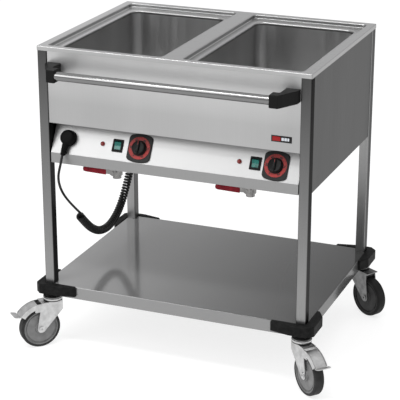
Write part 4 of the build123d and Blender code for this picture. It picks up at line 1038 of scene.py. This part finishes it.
def screw_shape():
    """Pan head with a cross recess, and a shank with a few thread rings."""
    profile = [(0.0, -SHANK_LENGTH), (THREAD_CREST, -SHANK_LENGTH)]
    for i in range(THREAD_TURNS):
        crest = THREAD_PITCH * i - THREAD_START
        profile += [(THREAD_CREST, crest), (THREAD_ROOT, crest + THREAD_PITCH / 2)]
    shape = keep(lathe("screw", profile + PAN_HEAD, bright, 28))
    cross = []
    for turned in (0, 90):
        arm = slab("arm", RECESS_X, RECESS_Y, RECESS_Z, mark_ink)
        cross.append(keep(arm, Matrix.Rotation(math.radians(turned), 4, "Z")))
    for arm in cross:
        cut = shape.modifiers.new("recess", "BOOLEAN")
        cut.operation = "DIFFERENCE"
        cut.object = arm
        cut.solver = "EXACT"
    applied(shape).data.materials.clear()
    shape.data.materials.append(bright)
    for arm in cross:
        bpy.data.objects.remove(arm)
    return shape


screw = screw_shape()
screw.hide_render = True
print("one screw", len(screw.data.polygons), "faces")

# %% Tree and places for the screws
screws_tree, given, taken = new_tree("screws_at_points", {
    "Screw": "object", "Material": "material"})
source = screws_tree.nodes.new("GeometryNodeObjectInfo")
turned = screws_tree.nodes.new("GeometryNodeInputNamedAttribute")
spread = screws_tree.nodes.new("GeometryNodeInstanceOnPoints")
turned.data_type = "FLOAT_VECTOR"
turned.inputs["Name"].default_value = "turn"
screws_tree.links.new(given.outputs["Screw"], source.inputs["Object"])
screws_tree.links.new(given.outputs["Geometry"], spread.inputs["Points"])
screws_tree.links.new(source.outputs["Geometry"], spread.inputs["Instance"])
screws_tree.links.new(turned.outputs["Attribute"], spread.inputs["Rotation"])
close_tree(screws_tree, given, taken, spread.outputs["Instances"])

FLANGE_Z = 0.591
APRON_INSIDE_Y = -0.306
SIDE_X, BACK_Y, FRONT_Y = 0.4035, 0.300, -0.2895
BRACKET_X, BRACKET_Z, BRACKET_HALF = 0.361, 0.876, 0.00925
screw_places = [((right * SIDE_X, y, FLANGE_Z), (0, math.pi, 0.3 * y)) for right in (-1, 1)
                for y in (-0.180, 0.200)]
screw_places += [((x, BACK_Y, FLANGE_Z), (0, math.pi, 3 * x)) for x in (-0.260, 0.0, 0.260)]
screw_places += [((x, FRONT_Y, FLANGE_Z), (0, math.pi, 5 * x)) for x in (-0.290, 0.020, 0.290)]
screw_places += [((right * BRACKET_X, APRON_INSIDE_Y, BRACKET_Z + up * BRACKET_HALF),
                  (-math.pi / 2, 0, 0.4 * up)) for right in (-1, 1) for up in (-1, 1)]
all_screws = grow("pan_head_screws", screws_tree, {"Screw": screw, "Material": bright},
                  *zip(*screw_places))
bpy.data.objects.remove(screw)
keep(all_screws)
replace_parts(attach(all_screws, "cart"), "screws")
cad_low, cad_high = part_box("screws")
print("screws", len(screw_places), "CAD box", tuple(round(v, 4) for v in (*cad_low, *cad_high)))

# %% [markdown]
# ## Floor and light
# The cart stands on a plain pale floor in a bright room. The floor glows a little of
# itself, so it stays white below the cart too. The sky is a soft white that is a little
# darker near the horizon, which is what the steel mirrors. A large soft light from the
# front left models the panels, and a narrow strip overhead draws the thin bright line
# along the handle.

# %% Floor, sky and lamps
SKY = ((0.0, (0.80, 0.80, 0.81)), (0.9, (1.0, 1.0, 1.0)))
SKY_STRENGTH = 0.8
floor_white = plain("floor_white", 0.35, 3, (0.85, 0.95), 1e-5,
                    Emission_Color=(1, 1, 1, 1), Emission_Strength=0.74)
floor = mesh_object("floor", [(-30, -30, 0), (30, -30, 0), (30, 30, 0), (-30, 30, 0)],
                    [(0, 1, 2, 3)], floor_white)

scene = bpy.context.scene
scene.view_settings.view_transform = "Standard"
world = bpy.data.worlds.new("studio")
scene.world = world
world.use_nodes = True
tree = world.node_tree
coordinates = tree.nodes.new("ShaderNodeTexCoord")
parts = tree.nodes.new("ShaderNodeSeparateXYZ")
ramp = tree.nodes.new("ShaderNodeValToRGB")
for element, (height, colour) in zip(ramp.color_ramp.elements, SKY):
    element.position = height
    element.color = (*colour, 1)
tree.links.new(coordinates.outputs["Generated"], parts.inputs["Vector"])
tree.links.new(parts.outputs["Z"], ramp.inputs["Fac"])
tree.links.new(ramp.outputs["Color"], tree.nodes["Background"].inputs["Color"])
tree.nodes["Background"].inputs["Strength"].default_value = SKY_STRENGTH


def soft_lamp(name, place, target, size, power):
    """Rectangular area light that looks at a point."""
    data = bpy.data.lights.new(name, "AREA")
    data.shape = "RECTANGLE"
    data.size, data.size_y = size
    data.energy = power
    made = bpy.data.objects.new(name, data)
    made.location = place
    made.rotation_euler = (Vector(target) - Vector(place)).to_track_quat("-Z", "Y").to_euler()
    scene.collection.objects.link(made)


soft_lamp("front_left_softbox", (-2.6, -3.6, 3.2), (0, 0, 0.5), (2.4, 2.4), 60)
soft_lamp("overhead_strip", (0.2, -1.4, 3.0), (0, -0.2, 0.8), (3.0, 0.3), 45)
print("lamps ready")
